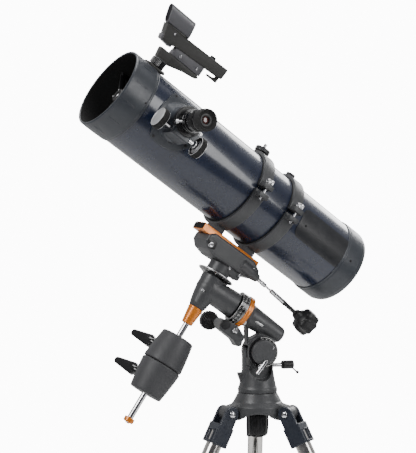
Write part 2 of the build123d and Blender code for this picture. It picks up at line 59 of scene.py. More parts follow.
def pivot(name):
    return Vector(joints[name]["pos_m"])


def basis(origin, x, z):
    y = z.cross(x)
    turn = Matrix((x, y, z)).transposed().to_4x4()
    return Matrix.Translation(origin) @ turn @ Matrix.Scale(MM, 4)


def shift(x=0, y=0, z=0):
    return Matrix.Translation((x, y, z))


def spin(angle, about="Z"):
    return Matrix.Rotation(math.radians(angle), 4, about)


UP = Vector((0, 0, 1))
tube_way = axis("tube_turn")
tube_centre = pivot("tube_turn")
dec_way = axis("dec_turn")
pole_way = axis("ra_turn")
uphill = axis("latitude_rear_bolt_turn")
meet = pivot("ra_turn")
world = Matrix.Scale(MM, 4)
PLACED = Matrix()
optical = basis(tube_centre, dec_way, tube_way)
declination = basis(meet, tube_way, dec_way)
branch = basis(meet, pole_way, dec_way)
polar = basis(meet, dec_way, pole_way)
level = basis(Vector((0, 0, 0)), uphill, UP)
control = basis(pivot("dec_control_turn"), declination.to_3x3().col[1].normalized(), axis("dec_control_turn"))
focus_out = axis("draw_slide")
# Distances along and off the tube's axis, and turns round it
FOCUSER_STATION = 277
FOCUSER_TURN = 4
TUBE_OFFSET = 196.7
PINION_OFFSET = 25.1
PINION_HEIGHT = 115
DRAW_END = 148
RING_STATIONS = {"front": 54, "rear": -30}
focuser = basis(tube_centre + tube_way * FOCUSER_STATION * MM, tube_way, focus_out)
FINDER_TURN = -13.6
WEIGHT_KNOB_TURN = -65
finder = optical @ spin(FINDER_TURN) @ Matrix(((0, 0, 1, 0), (0, -1, 0, 0), (1, 0, 0, 0), (0, 0, 0, 1)))


def leg_frame(side):
    return basis(pivot(side + "_leg_fold"), axis(side + "_leg_fold"), axis(side + "_leg_extend"))


# Materials
def new_material(name):
    material = bpy.data.materials.new(name)
    material.use_nodes = True
    nodes = material.node_tree.nodes
    nodes.clear()
    output = nodes.new("ShaderNodeOutputMaterial")
    shader = nodes.new("ShaderNodeBsdfPrincipled")
    material.node_tree.links.new(shader.outputs[0], output.inputs[0])
    return material, shader


def noise(material, scale, detail):
    nodes = material.node_tree.nodes
    place = nodes.new("ShaderNodeTexCoord")
    texture = nodes.new("ShaderNodeTexNoise")
    texture.inputs["Scale"].default_value = scale
    texture.inputs["Detail"].default_value = detail
    material.node_tree.links.new(place.outputs["Object"], texture.inputs["Vector"])
    return texture.outputs[0]


def ramp(material, source, low, high):
    colours = material.node_tree.nodes.new("ShaderNodeValToRGB")
    for stop, position, colour in zip(colours.color_ramp.elements, (0.35, 0.65), (low, high)):
        stop.position = position
        stop.color = colour
    material.node_tree.links.new(source, colours.inputs[0])
    return colours.outputs[0]


def grey(value):
    return (value, value, value, 1)


# How many soft patches there are to a metre of colour
PATCHES = 14.0


def finish(name, colour, rough, metal=0.0, colour_change=0.06, rough_change=0.06, bump=0.0, bump_scale=900.0,
           coat=0.0, coat_rough=0.05):
    """A material whose colour and roughness drift in soft patches, with a fine grain where bump is given."""
    material, shader = new_material(name)
    links = material.node_tree.links
    low = tuple(channel * (1 - colour_change) for channel in colour) + (1,)
    high = tuple(min(1, channel * (1 + colour_change)) for channel in colour) + (1,)
    links.new(ramp(material, noise(material, PATCHES, 5.0), low, high), shader.inputs["Base Color"])
    smooth = grey(max(0.02, rough - rough_change))
    coarse = grey(min(1, rough + rough_change))
    links.new(ramp(material, noise(material, PATCHES * 6, 6.0), smooth, coarse), shader.inputs["Roughness"])
    shader.inputs["Metallic"].default_value = metal
    shader.inputs["Coat Weight"].default_value = coat
    shader.inputs["Coat Roughness"].default_value = coat_rough
    if bump:
        height = material.node_tree.nodes.new("ShaderNodeBump")
        height.inputs["Strength"].default_value = bump
        height.inputs["Distance"].default_value = 0.0004
        links.new(noise(material, bump_scale, 3.0), height.inputs["Height"])
        links.new(height.outputs[0], shader.inputs["Normal"])
    return material


CASTING = finish("charcoal_casting", (0.062, 0.064, 0.067), 0.42, bump=0.25, bump_scale=700, coat=0.15,
                 coat_rough=0.35)
BRACKET = finish("grey_plastic", (0.050, 0.051, 0.057), 0.36, bump=0.12, bump_scale=1200, coat=0.2,
                 coat_rough=0.3)
NAVY = finish("navy_gloss", (0.008, 0.015, 0.040), 0.30, colour_change=0.08, rough_change=0.03,
              coat=0.8, coat_rough=0.12)
CELL = finish("charcoal_cell", (0.040, 0.046, 0.056), 0.38, bump=0.18, bump_scale=1100, coat=0.2,
              coat_rough=0.3)
CHROME = finish("chrome", (0.82, 0.82, 0.83), 0.10, metal=1.0, colour_change=0.02, rough_change=0.03)
LEG_STEEL = finish("plated_leg_steel", (0.72, 0.70, 0.67), 0.16, metal=1.0, colour_change=0.04,
                   rough_change=0.05, bump=0.03, bump_scale=300)
ORANGE = finish("orange_anodised", (0.80, 0.235, 0.022), 0.30, metal=0.35, colour_change=0.08,
                rough_change=0.05, coat=0.4, coat_rough=0.15)
BLACK = finish("black_plastic", (0.012, 0.012, 0.013), 0.42, bump=0.22, bump_scale=1300)
GLOSS_BLACK = finish("gloss_black", (0.008, 0.008, 0.009), 0.18, coat=0.6, coat_rough=0.08,
                     rough_change=0.04)
MATT_BLACK = finish("matt_black", (0.006, 0.006, 0.006), 0.85, bump=0.2, bump_scale=1500)
RUBBER = finish("rubber", (0.014, 0.014, 0.014), 0.75, bump=0.3, bump_scale=1600)
FELT = finish("felt", (0.02, 0.02, 0.02), 0.95, bump=0.8, bump_scale=2600)
FORK = finish("navy_moulding", (0.022, 0.027, 0.040), 0.33, bump=0.15, bump_scale=1200, coat=0.25,
              coat_rough=0.25)
WEIGHT = finish("weight_paint", (0.066, 0.067, 0.071), 0.5, bump=0.3, bump_scale=800)
WHITE_MARK = finish("white_marks", (0.80, 0.80, 0.78), 0.5)
EDGE_SILVER = finish("turned_silver", (0.70, 0.70, 0.70), 0.34, metal=1.0)
FINDER_CASE = finish("finder_case", (0.050, 0.050, 0.047), 0.46, bump=0.22, bump_scale=1300)
FINDER_GREY = finish("finder_grey", (0.115, 0.115, 0.125), 0.36, bump=0.12, bump_scale=1200, coat=0.2,
                     coat_rough=0.3)
SATIN = finish("satin_silver", (0.74, 0.74, 0.75), 0.36, metal=0.45, coat=0.5, coat_rough=0.1)
MIRROR = finish("mirror_coating", (0.93, 0.93, 0.93), 0.02, metal=1.0, colour_change=0.005,
                rough_change=0.01)
LENS = finish("coated_lens", (0.10, 0.018, 0.012), 0.05, colour_change=0.3, rough_change=0.02,
              coat=1.0, coat_rough=0.02)
LABEL = finish("label_plate", (0.018, 0.019, 0.022), 0.35, coat=0.3, coat_rough=0.2)

# The record's slots: the finish that a CAD node takes, and a slot listed for each finish of the new pieces
SLOT_MATERIALS = {
    "charcoal_casting": CASTING,
    "chrome": CHROME,
    "black_plastic": BLACK,
    "orange_metal": ORANGE,
    "weight_paint": WEIGHT,
    "circle_metal": GLOSS_BLACK,
    "navy_tube": NAVY,
    "charcoal_plastic": CELL,
    "mirror": MIRROR,
    "navy_plastic": FORK,
    "steel_tube": LEG_STEEL,
    "rubber": RUBBER,
}
PIECE_SLOTS = {material.name: slot for slot, material in SLOT_MATERIALS.items()}
for finishes, slot_name in (((BRACKET, LABEL, FINDER_GREY), "charcoal_plastic"), ((SATIN,), "chrome"),
                            ((GLOSS_BLACK, MATT_BLACK, FINDER_CASE), "black_plastic"), ((LENS,), "mirror"),
                            ((WHITE_MARK, EDGE_SILVER), "circle_metal"), ((FELT,), "rubber")):
    PIECE_SLOTS.update({material.name: slot_name for material in finishes})


def paint(thing, material):
    thing.data.materials.clear()
    thing.data.materials.append(material)


for node_name, node in frame["nodes"].items():
    paint(node, SLOT_MATERIALS[node_slots[node_name]])


# Mesh helpers
SHARP = math.radians(35)


def rounded(points, radius, steps=4, closed=False):
    """The outline with its corners turned into arcs."""
    result = []
    count = len(points)
    for index, point in enumerate(points):
        if not closed and index in (0, count - 1):
            result.append(Vector(point))
            continue
        here = Vector(point)
        before = Vector(points[index - 1])
        after = Vector(points[(index + 1) % count])
        reach = min(radius, (before - here).length * 0.45, (after - here).length * 0.45)
        start = here + (before - here).normalized() * reach
        end = here + (after - here).normalized() * reach
        for step in range(steps + 1):
            share = step / steps
            result.append(start.lerp(here, share).lerp(here.lerp(end, share), share))
    return result


def lathe(points, segments=96, radius=0.6, wave=None):
    """A turned solid about Z, a ring where its outline keeps off the axis.

    wave is (count, depth, low, high, sharpness) and cuts flutes between two heights.
    """
    closed = points[0][0] > 1e-6
    outline = rounded(points, radius, closed=closed) if radius else [Vector(point) for point in points]
    mesh = bmesh.new()
    rings = []
    for reach, height in outline:
        ring = []
        for step in range(segments):
            angle = 2 * math.pi * step / segments
            distance = reach
            if wave and wave[2] <= height <= wave[3]:
                crest = (0.5 + 0.5 * math.cos(wave[0] * angle)) ** wave[4]
                distance -= wave[1] * (1 - crest)
            ring.append(mesh.verts.new((distance * math.cos(angle), distance * math.sin(angle), height)))
        rings.append(ring)
    pairs = list(zip(rings, rings[1:])) + ([(rings[-1], rings[0])] if closed else [])
    for low, high in pairs:
        for step in range(segments):
            after = (step + 1) % segments
            mesh.faces.new((low[step], low[after], high[after], high[step]))
    bmesh.ops.remove_doubles(mesh, verts=mesh.verts, dist=0.0005)
    bmesh.ops.recalc_face_normals(mesh, faces=mesh.faces)
    return mesh


def bar(radius, start, end, segments=32, edge=0.4):
    return lathe([(0, start), (radius, start), (radius, end), (0, end)], segments, edge)


def band(inner, outer, low, high, segments, edge):
    """A ring about Z with a square section."""
    return lathe([(inner, low), (outer, low), (outer, high), (inner, high)], segments, edge)


def brick(x0, x1, y0, y1, z0, z1, edge=0.8, steps=3):
    mesh = bmesh.new()
    bmesh.ops.create_cube(mesh, size=1)
    size = Matrix.Diagonal((x1 - x0, y1 - y0, z1 - z0, 1))
    mesh.transform(shift((x0 + x1) / 2, (y0 + y1) / 2, (z0 + z1) / 2) @ size)
    bmesh.ops.bevel(mesh, geom=mesh.edges[:], offset=edge, segments=steps, affect="EDGES", profile=0.5)
    return mesh


def prism(points, low, high, edge=0.8, steps=3, corner=0):
    """A plate in the XY plane from low to high, with rounded corners and edges."""
    outline = rounded(points, corner, 5, True) if corner else [Vector(point) for point in points]
    mesh = bmesh.new()
    bottom = [mesh.verts.new((x, y, low)) for x, y in outline]
    face = mesh.faces.new(bottom)
    lifted = bmesh.ops.extrude_face_region(mesh, geom=[face])
    risen = [item for item in lifted["geom"] if isinstance(item, bmesh.types.BMVert)]
    bmesh.ops.translate(mesh, verts=risen, vec=(0, 0, high - low))
    bmesh.ops.recalc_face_normals(mesh, faces=mesh.faces)
    if edge:
        rims = [item for item in mesh.edges if abs(item.verts[0].co.z - item.verts[1].co.z) < 1e-6]
        bmesh.ops.bevel(mesh, geom=rims, offset=edge, segments=steps, affect="EDGES", profile=0.5)
    return mesh


def merge(*meshes):
    whole = meshes[0]
    for other in meshes[1:]:
        copy = bpy.data.meshes.new("part")
        other.to_mesh(copy)
        whole.from_mesh(copy)
        bpy.data.meshes.remove(copy)
        other.free()
    return whole


def gather(parts):
    return merge(bmesh.new(), *parts)


def moved(mesh, matrix):
    mesh.transform(matrix)
    return mesh


def piece(name, mesh, place, body, material, replaces=(), slot=None):
    """A finished piece from a mesh in millimetres, riding on a body."""
    mesh.transform(place)
    bmesh.ops.recalc_face_normals(mesh, faces=mesh.faces)
    data = bpy.data.meshes.new(name)
    mesh.to_mesh(data)
    mesh.free()
    thing = bpy.data.objects.new(name, data)
    bpy.context.scene.collection.objects.link(thing)
    data.shade_smooth()
    data.set_sharp_from_angle(angle=SHARP)
    paint(thing, material)
    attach(thing, body)
    if replaces:
        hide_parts(*replaces)


def tube_piece(name, mesh, *rest, **options):
    piece(name, mesh, optical, "optical_tube", *rest, **options)


def finder_piece(name, mesh, *rest, **options):
    piece(name, mesh, finder, "optical_tube", *rest, **options)


def node_copy(node_name, prefix):
    thing = bpy.data.objects.new(prefix + node_name, frame["nodes"][node_name].data.copy())
    bpy.context.scene.collection.objects.link(thing)
    return thing


def settle(thing, node_name, body, material):
    """Applies the modifiers of a worked copy and puts it in its CAD node's place."""
    graph = bpy.context.evaluated_depsgraph_get()
    shaped = bpy.data.meshes.new_from_object(thing.evaluated_get(graph))
    thing.modifiers.clear()
    old = thing.data
    thing.data = shaped
    bpy.data.meshes.remove(old)
    shaped.shade_smooth()
    paint(thing, material)
    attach(thing, body)
    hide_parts(node_name)


def cast_copy(node_name, body, material, voxel=1.2, rounds=6):
    """A cast version of a CAD node: the same solid with its edges worn round."""
    thing = node_copy(node_name, "cast_")
    remesh = thing.modifiers.new("voxels", "REMESH")
    remesh.mode = "VOXEL"
    remesh.voxel_size = voxel * MM
    smooth = thing.modifiers.new("soften", "SMOOTH")
    smooth.iterations = rounds
    settle(thing, node_name, body, material)


def bevel_copy(node_name, body, material, width):
    """A CAD node with its sharp edges broken."""
    thing = node_copy(node_name, "edged_")
    mesh = bmesh.new()
    mesh.from_mesh(thing.data)
    bmesh.ops.remove_doubles(mesh, verts=mesh.verts, dist=1e-6)
    bmesh.ops.dissolve_limit(mesh, angle_limit=math.radians(1.0), verts=mesh.verts, edges=mesh.edges)
    mesh.to_mesh(thing.data)
    mesh.free()
    soften = thing.modifiers.new("edges", "BEVEL")
    soften.width = width * MM
    soften.segments = 3
    soften.limit_method = "ANGLE"
    soften.angle_limit = math.radians(38)
    settle(thing, node_name, body, material)
    thing.data.set_sharp_from_angle(angle=SHARP)


def cut(mesh, origin, normal):
    """Cuts away the side that the normal points to, and closes the cut."""
    everything = mesh.verts[:] + mesh.edges[:] + mesh.faces[:]
    result = bmesh.ops.bisect_plane(mesh, geom=everything, plane_co=origin, plane_no=normal, clear_outer=True)
    rim = [item for item in result["geom_cut"] if isinstance(item, bmesh.types.BMEdge)]
    bmesh.ops.edgeloop_fill(mesh, edges=rim)
    bmesh.ops.recalc_face_normals(mesh, faces=mesh.faces)
    return mesh


def loft(rows):
    """A closed solid through rows of points, each row a closed outline."""
    mesh = bmesh.new()
    rows = [[mesh.verts.new(point) for point in row] for row in rows]
    for row, following in zip(rows, rows[1:]):
        for index in range(len(row)):
            after = (index + 1) % len(row)
            mesh.faces.new((row[index], row[after], following[after], following[index]))
    mesh.faces.new(rows[0])
    mesh.faces.new(reversed(rows[-1]))
    bmesh.ops.recalc_face_normals(mesh, faces=mesh.faces)
    return mesh


def felt_band(start, end):
    """A ring half's lining, from one angle about Z to another."""
    reach = RING_HALF + 1.2
    outline = [(TUBE_RADIUS + 0.1, -reach), (82.2, -reach), (82.2, reach), (TUBE_RADIUS + 0.1, reach)]
    section = rounded(outline, 0.3, 2, True)
    rows = []
    for step in range(73):
        angle = math.radians(start + (end - start) * step / 72)
        rows.append([(radius * math.cos(angle), radius * math.sin(angle), z) for radius, z in section])
    return loft(rows)


def socket_screw(radius, height, segments=36):
    """A cap screw's head with a hexagon socket, its top at height."""
    floor = height * 0.4
    socket = radius * 0.5
    outline = [(0, 0), (radius, 0), (radius, height), (socket, height), (socket, floor), (0, floor)]
    return lathe(outline, segments, radius * 0.08)


def knurled(radius, low, high, count, depth=0.5, chamfer=0.8, segments_each=6):
    points = [(0, low), (radius - chamfer, low), (radius, low + chamfer), (radius, high - chamfer),
              (radius - chamfer, high), (0, high)]
    flutes = (count, depth, low + chamfer * 0.5, high - chamfer * 0.5, 0.6)
    return lathe(points, count * segments_each, 0.15, flutes)


def ticks(radius, low, count, long, short):
    """Raised marks along a drum's side, every sixth one longer."""
    marks = []
    for index in range(count):
        length = short if index % 6 else long
        one = brick(-0.15, 0.15, -0.2, 0.2, low, low + length, 0.04, 1)
        marks.append(moved(one, spin(360 * index / count) @ shift(radius)))
    return gather(marks)


def face_ticks(outer, height, count, start, end):
    """Raised marks on a disc's face, pointing to its middle, every tenth one longer."""
    marks = []
    for index in range(count):
        length = 1.9 if index % 10 else 3.6
        one = brick(outer - length, outer, -0.25, 0.25, height - 0.14, height + 0.14, 0.04, 1)
        marks.append(moved(one, spin(start + (end - start) * index / count)))
    return gather(marks)


def numeral(text, size, depth=0.12):
    """A number as a thin raised mesh, centred, facing +Z."""
    curve = bpy.data.curves.new("numeral", "FONT")
    curve.body = text
    curve.size = size
    curve.align_x = "CENTER"
    curve.align_y = "CENTER"
    curve.extrude = depth
    curve.resolution_u = 3
    thing = bpy.data.objects.new("numeral", curve)
    bpy.context.scene.collection.objects.link(thing)
    graph = bpy.context.evaluated_depsgraph_get()
    data = bpy.data.meshes.new_from_object(thing.evaluated_get(graph))
    mesh = bmesh.new()
    mesh.from_mesh(data)
    bmesh.ops.remove_doubles(mesh, verts=mesh.verts, dist=0.001)
    bpy.data.objects.remove(thing)
    bpy.data.curves.remove(curve)
    bpy.data.meshes.remove(data)
    return mesh


# Optical tube
TUBE_RADIUS = 80.5
CELL_RADIUS = 83
TUBE_FRONT = 392
CELL_FRONT = 400
CELL_BACK = 343
REAR_CELL_FRONT = -185
REAR_CELL_BACK = -241
MIRROR_BACK = -212


def main_tube():
    skin = lathe([(TUBE_RADIUS, -232), (TUBE_RADIUS, TUBE_FRONT), (79.2, TUBE_FRONT), (79.2, -232)], 256, 0.2)
    tube_piece("tube_skin", skin, NAVY, ["main_tube"])
    lining = lathe([(79.15, -225), (79.15, TUBE_FRONT - 1), (78.9, TUBE_FRONT - 1), (78.9, -225)], 192, 0)
    tube_piece("tube_lining", lining, MATT_BLACK)
    seam = brick(-1.2, 1.2, -0.25, 0.25, REAR_CELL_FRONT + 2, CELL_BACK - 2, 0.15, 1)
    piece("tube_seam", seam, optical @ spin(75) @ shift(TUBE_RADIUS), "optical_tube", NAVY)


def front_cell():
    outline = [
        (79.0, CELL_BACK + 4), (TUBE_RADIUS, CELL_BACK), (81.6, CELL_BACK), (82.2, CELL_BACK + 1.2),
        (82.3, CELL_BACK + 5), (CELL_RADIUS, CELL_BACK + 6), (CELL_RADIUS, CELL_FRONT - 2.5),
        (CELL_RADIUS - 1, CELL_FRONT), (79.8, CELL_FRONT), (78.6, CELL_FRONT - 1.2), (78.6, CELL_FRONT - 9),
        (79.0, CELL_FRONT - 9),
    ]
    tube_piece("front_cell_moulding", lathe(outline, 256, 0.7), CELL, ["front_cell"])
    inside = lathe([(78.55, CELL_BACK), (78.55, CELL_FRONT - 1.5), (78.3, CELL_FRONT - 1.5),
                    (78.3, CELL_BACK)], 192, 0)
    tube_piece("front_cell_lining", inside, MATT_BLACK)
    bosses = bmesh.new()
    for turn in (-135, -105, -75, -45, 45, 75, 165, 195):
        rib = brick(-0.35, 0.35, -1.6, 1.6, 362, 388, 0.3, 2)
        rib.transform(spin(turn) @ shift(CELL_RADIUS))
        bosses = merge(bosses, rib)
    tube_piece("front_cell_ribs", bosses, CELL)
    # Flush black discs stand for the cell's screw holes: painted shade where the holes' depth would be dark
    hole_shade_discs = bmesh.new()
    rims = bmesh.new()
    for turn in (-91.6, 28.4, 148.4):
        place = spin(turn) @ shift(CELL_RADIUS, 0, 350.5) @ spin(90, "Y")
        hole_shade_discs = merge(hole_shade_discs, moved(bar(1.9, -1, 0.08, 24, 0.02), place))
        rims = merge(rims, moved(band(1.9, 2.7, -1, 0.15, 24, 0.1), place))
    tube_piece("front_cell_hole_shade_discs", hole_shade_discs, MATT_BLACK)
    tube_piece("front_cell_hole_rims", rims, CELL)


def rear_cell():
    outline = [
        (79.0, REAR_CELL_FRONT - 4), (TUBE_RADIUS, REAR_CELL_FRONT), (81.8, REAR_CELL_FRONT),
        (82.3, REAR_CELL_FRONT - 1.5), (82.3, REAR_CELL_FRONT - 5), (CELL_RADIUS, REAR_CELL_FRONT - 6),
        (CELL_RADIUS, REAR_CELL_BACK + 13), (CELL_RADIUS - 3.2, REAR_CELL_BACK + 4.5),
        (CELL_RADIUS - 7, REAR_CELL_BACK + 1), (CELL_RADIUS - 12, REAR_CELL_BACK), (66, REAR_CELL_BACK),
        (66, REAR_CELL_BACK + 4), (74, REAR_CELL_BACK + 6), (79, REAR_CELL_BACK + 14),
    ]
    tube_piece("rear_cell_moulding", lathe(outline, 256, 1.5), CELL, ["rear_cell"])
    back = bar(66.5, REAR_CELL_BACK + 1.2, REAR_CELL_BACK + 5, 192, 0.5)
    tube_piece("rear_cell_plate", back, BLACK, slot="charcoal_plastic")
    raised = bmesh.new()
    for reach, width in ((62, 1.2), (34, 1.2), (20, 1)):
        step = band(reach - width, reach, REAR_CELL_BACK + 0.4, REAR_CELL_BACK + 2, 160, 0.3)
        raised = merge(raised, step)
    for turn in range(6):
        rib = brick(22, 60, -1, 1, REAR_CELL_BACK + 0.4, REAR_CELL_BACK + 2, 0.3, 2)
        rib.transform(spin(60 * turn + 30))
        raised = merge(raised, rib)
    tube_piece("rear_cell_ribs", raised, BLACK, slot="charcoal_plastic")
    knobs = bmesh.new()
    locks = bmesh.new()
    for turn in range(3):
        place = spin(60 + 120 * turn) @ shift(48, 0, REAR_CELL_BACK - 5.5)
        knobs = merge(knobs, moved(knurled(7, 0, 6.5, 24, 0.35, 0.7), place))
        place = spin(80 + 120 * turn) @ shift(48, 0, REAR_CELL_BACK - 2)
        locks = merge(locks, moved(socket_screw(2.6, 3.5), place @ spin(180, "X") @ shift(0, 0, -3.5)))
    tube_piece("collimation_knobs", knobs, CHROME)
    tube_piece("collimation_lock_screws", locks, BLACK)
    deck = bar(68, MIRROR_BACK - 5, MIRROR_BACK, 128, 0.5)
    tube_piece("mirror_deck", deck, MATT_BLACK)


def nameplate():
    """A blank raised plate that runs from behind the rear ring into the rear cell."""
    plate_mesh = bmesh.new()
    columns = 40
    rows = 24
    front, back = -57, REAR_CELL_FRONT - 3
    low_turn, high_turn = -107, -62
    corner = 16
    middle = math.radians((low_turn + high_turn) / 2)
    half = math.radians((high_turn - low_turn) / 2)
    grid = []
    for column in range(columns + 1):
        along = front + (back - front) * column / columns
        inset = max(0, corner - (front - along))
        narrow = (corner - math.sqrt(max(0, corner ** 2 - inset ** 2))) / TUBE_RADIUS
        line = []
        for row in range(rows + 1):
            angle = middle + (half - narrow) * (2 * row / rows - 1)
            line.append((angle, along))
        grid.append(line)
    outer = TUBE_RADIUS + 1.1
    tops = [[plate_mesh.verts.new((outer * math.cos(a), outer * math.sin(a), z)) for a, z in line]
            for line in grid]
    deep = TUBE_RADIUS - 0.3
    floors = [[plate_mesh.verts.new((deep * math.cos(a), deep * math.sin(a), z)) for a, z in line]
              for line in grid]
    for layer, flip in ((tops, False), (floors, True)):
        for c in range(columns):
            for r in range(rows):
                corners = (layer[c][r], layer[c + 1][r], layer[c + 1][r + 1], layer[c][r + 1])
                plate_mesh.faces.new(tuple(reversed(corners)) if flip else corners)
    rim = [(c, 0) for c in range(columns + 1)] + [(columns, r) for r in range(1, rows + 1)]
    rim += [(c, rows) for c in range(columns - 1, -1, -1)] + [(0, r) for r in range(rows - 1, 0, -1)]
    for here, after in zip(rim, rim[1:] + rim[:1]):
        plate_mesh.faces.new((tops[here[0]][here[1]], tops[after[0]][after[1]],
                              floors[after[0]][after[1]], floors[here[0]][here[1]]))
    tube_piece("nameplate", plate_mesh, LABEL)
    screws = bmesh.new()
    for station in (-73.4, REAR_CELL_FRONT - 20):
        reach = TUBE_RADIUS + 1.0 if station > REAR_CELL_FRONT else CELL_RADIUS
        place = spin(-86.5) @ shift(reach, 0, station) @ spin(90, "Y")
        screws = merge(screws, moved(socket_screw(2.3, 0.6, 24), place))
    tube_piece("nameplate_screws", screws, MATT_BLACK)


def mirrors():
    face = []
    for step in range(13):
        reach = 64.6 * step / 12
        face.append((reach, MIRROR_BACK + 17.4 + reach ** 2 / (4 * 650)))
    outline = [(0, MIRROR_BACK + 0.4), (64.9, MIRROR_BACK + 0.4), (65, MIRROR_BACK + 18.6)]
    body = lathe(outline + list(reversed(face)), 160, 0)
    tube_piece("mirror_glass", body, MIRROR, ["primary_mirror"])
    low = MIRROR_BACK + 18.8
    clips = gather(moved(brick(58, 67, -5, 5, low, low + 1.4, 0.5, 2), spin(120 * turn)) for turn in range(3))
    tube_piece("mirror_clips", clips, BLACK)
    station = FOCUSER_STATION
    turn = spin(FOCUSER_TURN)
    slope = turn @ Vector((0, 1, -1))
    holder = bar(17, station - 22, 302, 96, 0.6)
    holder = cut(holder, (0, 0, station), slope)
    tube_piece("secondary_holder", holder, MATT_BLACK, ["secondary_mirror"])
    glass = bar(17.4, station - 30, 305, 96, 0.2)
    glass = cut(glass, tuple(turn @ Vector((0, 0, station)) + slope * 1.6), slope)
    glass = cut(glass, tuple(turn @ Vector((0, 0, station)) + slope * 0.05), -slope)
    tube_piece("secondary_glass", glass, MIRROR)
    hub = lathe([(0, 360), (13, 360), (14, 361), (14, 375), (12.5, 376.5), (6, 376.5), (6, 374), (0, 374)],
                96, 0.6)
    hub = merge(hub, bar(6, 302, 361, 48, 0.4))
    for vane in range(3):
        blade = brick(13, 79.2, -0.9, 0.9, 362, 374, 0.3, 2)
        blade.transform(spin(45 + 120 * vane))
        boss = brick(70, 79.2, -4, 4, 363, 373, 0.8, 2)
        boss.transform(spin(45 + 120 * vane))
        hub = merge(hub, blade, boss)
    tube_piece("spider_moulding", hub, BLACK, ["spider"])
    screws = gather(moved(socket_screw(2, 2.4, 24), spin(120 * screw) @ shift(9.3, 0, 376))
                    for screw in range(3))
    centre_screw = lathe([(0, 374), (3.2, 374), (3.2, 374.8), (2.24, 375.7), (0, 376)], 36, 0.3)
    screws = merge(screws, centre_screw)
    tube_piece("secondary_screws", screws, CHROME)


# Cradle
RING_HALF = 13
SCREW_LINE = -96


def cradle():
    bevel_copy("lower_rings", "cradle", CASTING, 0.9)
    bevel_copy("dovetail_bar", "cradle", ORANGE, 0.7)
    for end, station in RING_STATIONS.items():
        place = optical @ shift(0, 0, station)
        body = "upper_ring_" + end
        bevel_copy(body, body, CASTING, 0.9)
        piece("lower_felt_" + end, felt_band(91, 268), place, "cradle", FELT)
        piece("upper_felt_" + end, felt_band(-82, 89), place, body, FELT)
        side = place @ shift(0, SCREW_LINE, 0) @ spin(90, "Y")
        stem = bar(2.5, -16, 21, 32, 0.5)
        threads = gather(lathe([(2.45, -15 + turn), (2.8, -14.7 + turn), (2.45, -14.4 + turn)], 24, 0)
                         for turn in range(12))
        head = merge(stem, threads, knurled(8.5, 20, 25.5, 40, 0.3, 0.6),
                     lathe([(0, 25), (8.7, 25), (8.7, 27.2), (7.9, 28), (0, 28)], 96, 0.3))
        screw_body = "ring_screw_" + end
        piece("thumb_screw_" + end, head, side, screw_body, CHROME, [screw_body])
        pin_cap = merge(bar(3.2, -13.3, -12.4, 32, 0.2), bar(3.2, 12.4, 13.3, 32, 0.2))
        piece("hinge_pin_" + end, pin_cap, place @ shift(0, 94, 0), "cradle", CHROME)
    top = optical @ shift(0, 0, RING_STATIONS["front"]) @ spin(90, "Y")
    disc = knurled(15.7, 90.8, 99.2, 36, 0.7, 1.2)
    piece("piggyback_knob", disc, top, "upper_ring_front", BLACK)
    stud = bar(3.3, 98, 110.2, 32, 0.5)
    for turn in range(9):
        stud = merge(stud, lathe([(3.2, 99.6 + turn), (3.5, 100 + turn), (3.2, 100.4 + turn)], 24, 0))
    piece("piggyback_stud", stud, top, "upper_ring_front", CHROME)
    top = optical @ shift(0, 0, RING_STATIONS["rear"]) @ spin(90, "Y")
    piece("rear_ring_cap", knurled(9.7, 89.8, 95.2, 28, 0.5, 0.9), top, "upper_ring_rear", BLACK)


# Focuser, with the outline of its flange: the distance along the tube and the half angle round it
FLANGE_TOP = 84.6
FLANGE_OUTLINE = ((41.8, 4), (40.8, 12), (38.2, 20), (34.2, 28), (28.6, 35.6), (26, 36.2), (20, 36.4),
                  (10, 36.4), (0, 35.4), (-14, 33), (-24, 29.5), (-32, 25.5), (-40, 21.5), (-46, 17.5),
                  (-50, 11), (-52, 4))


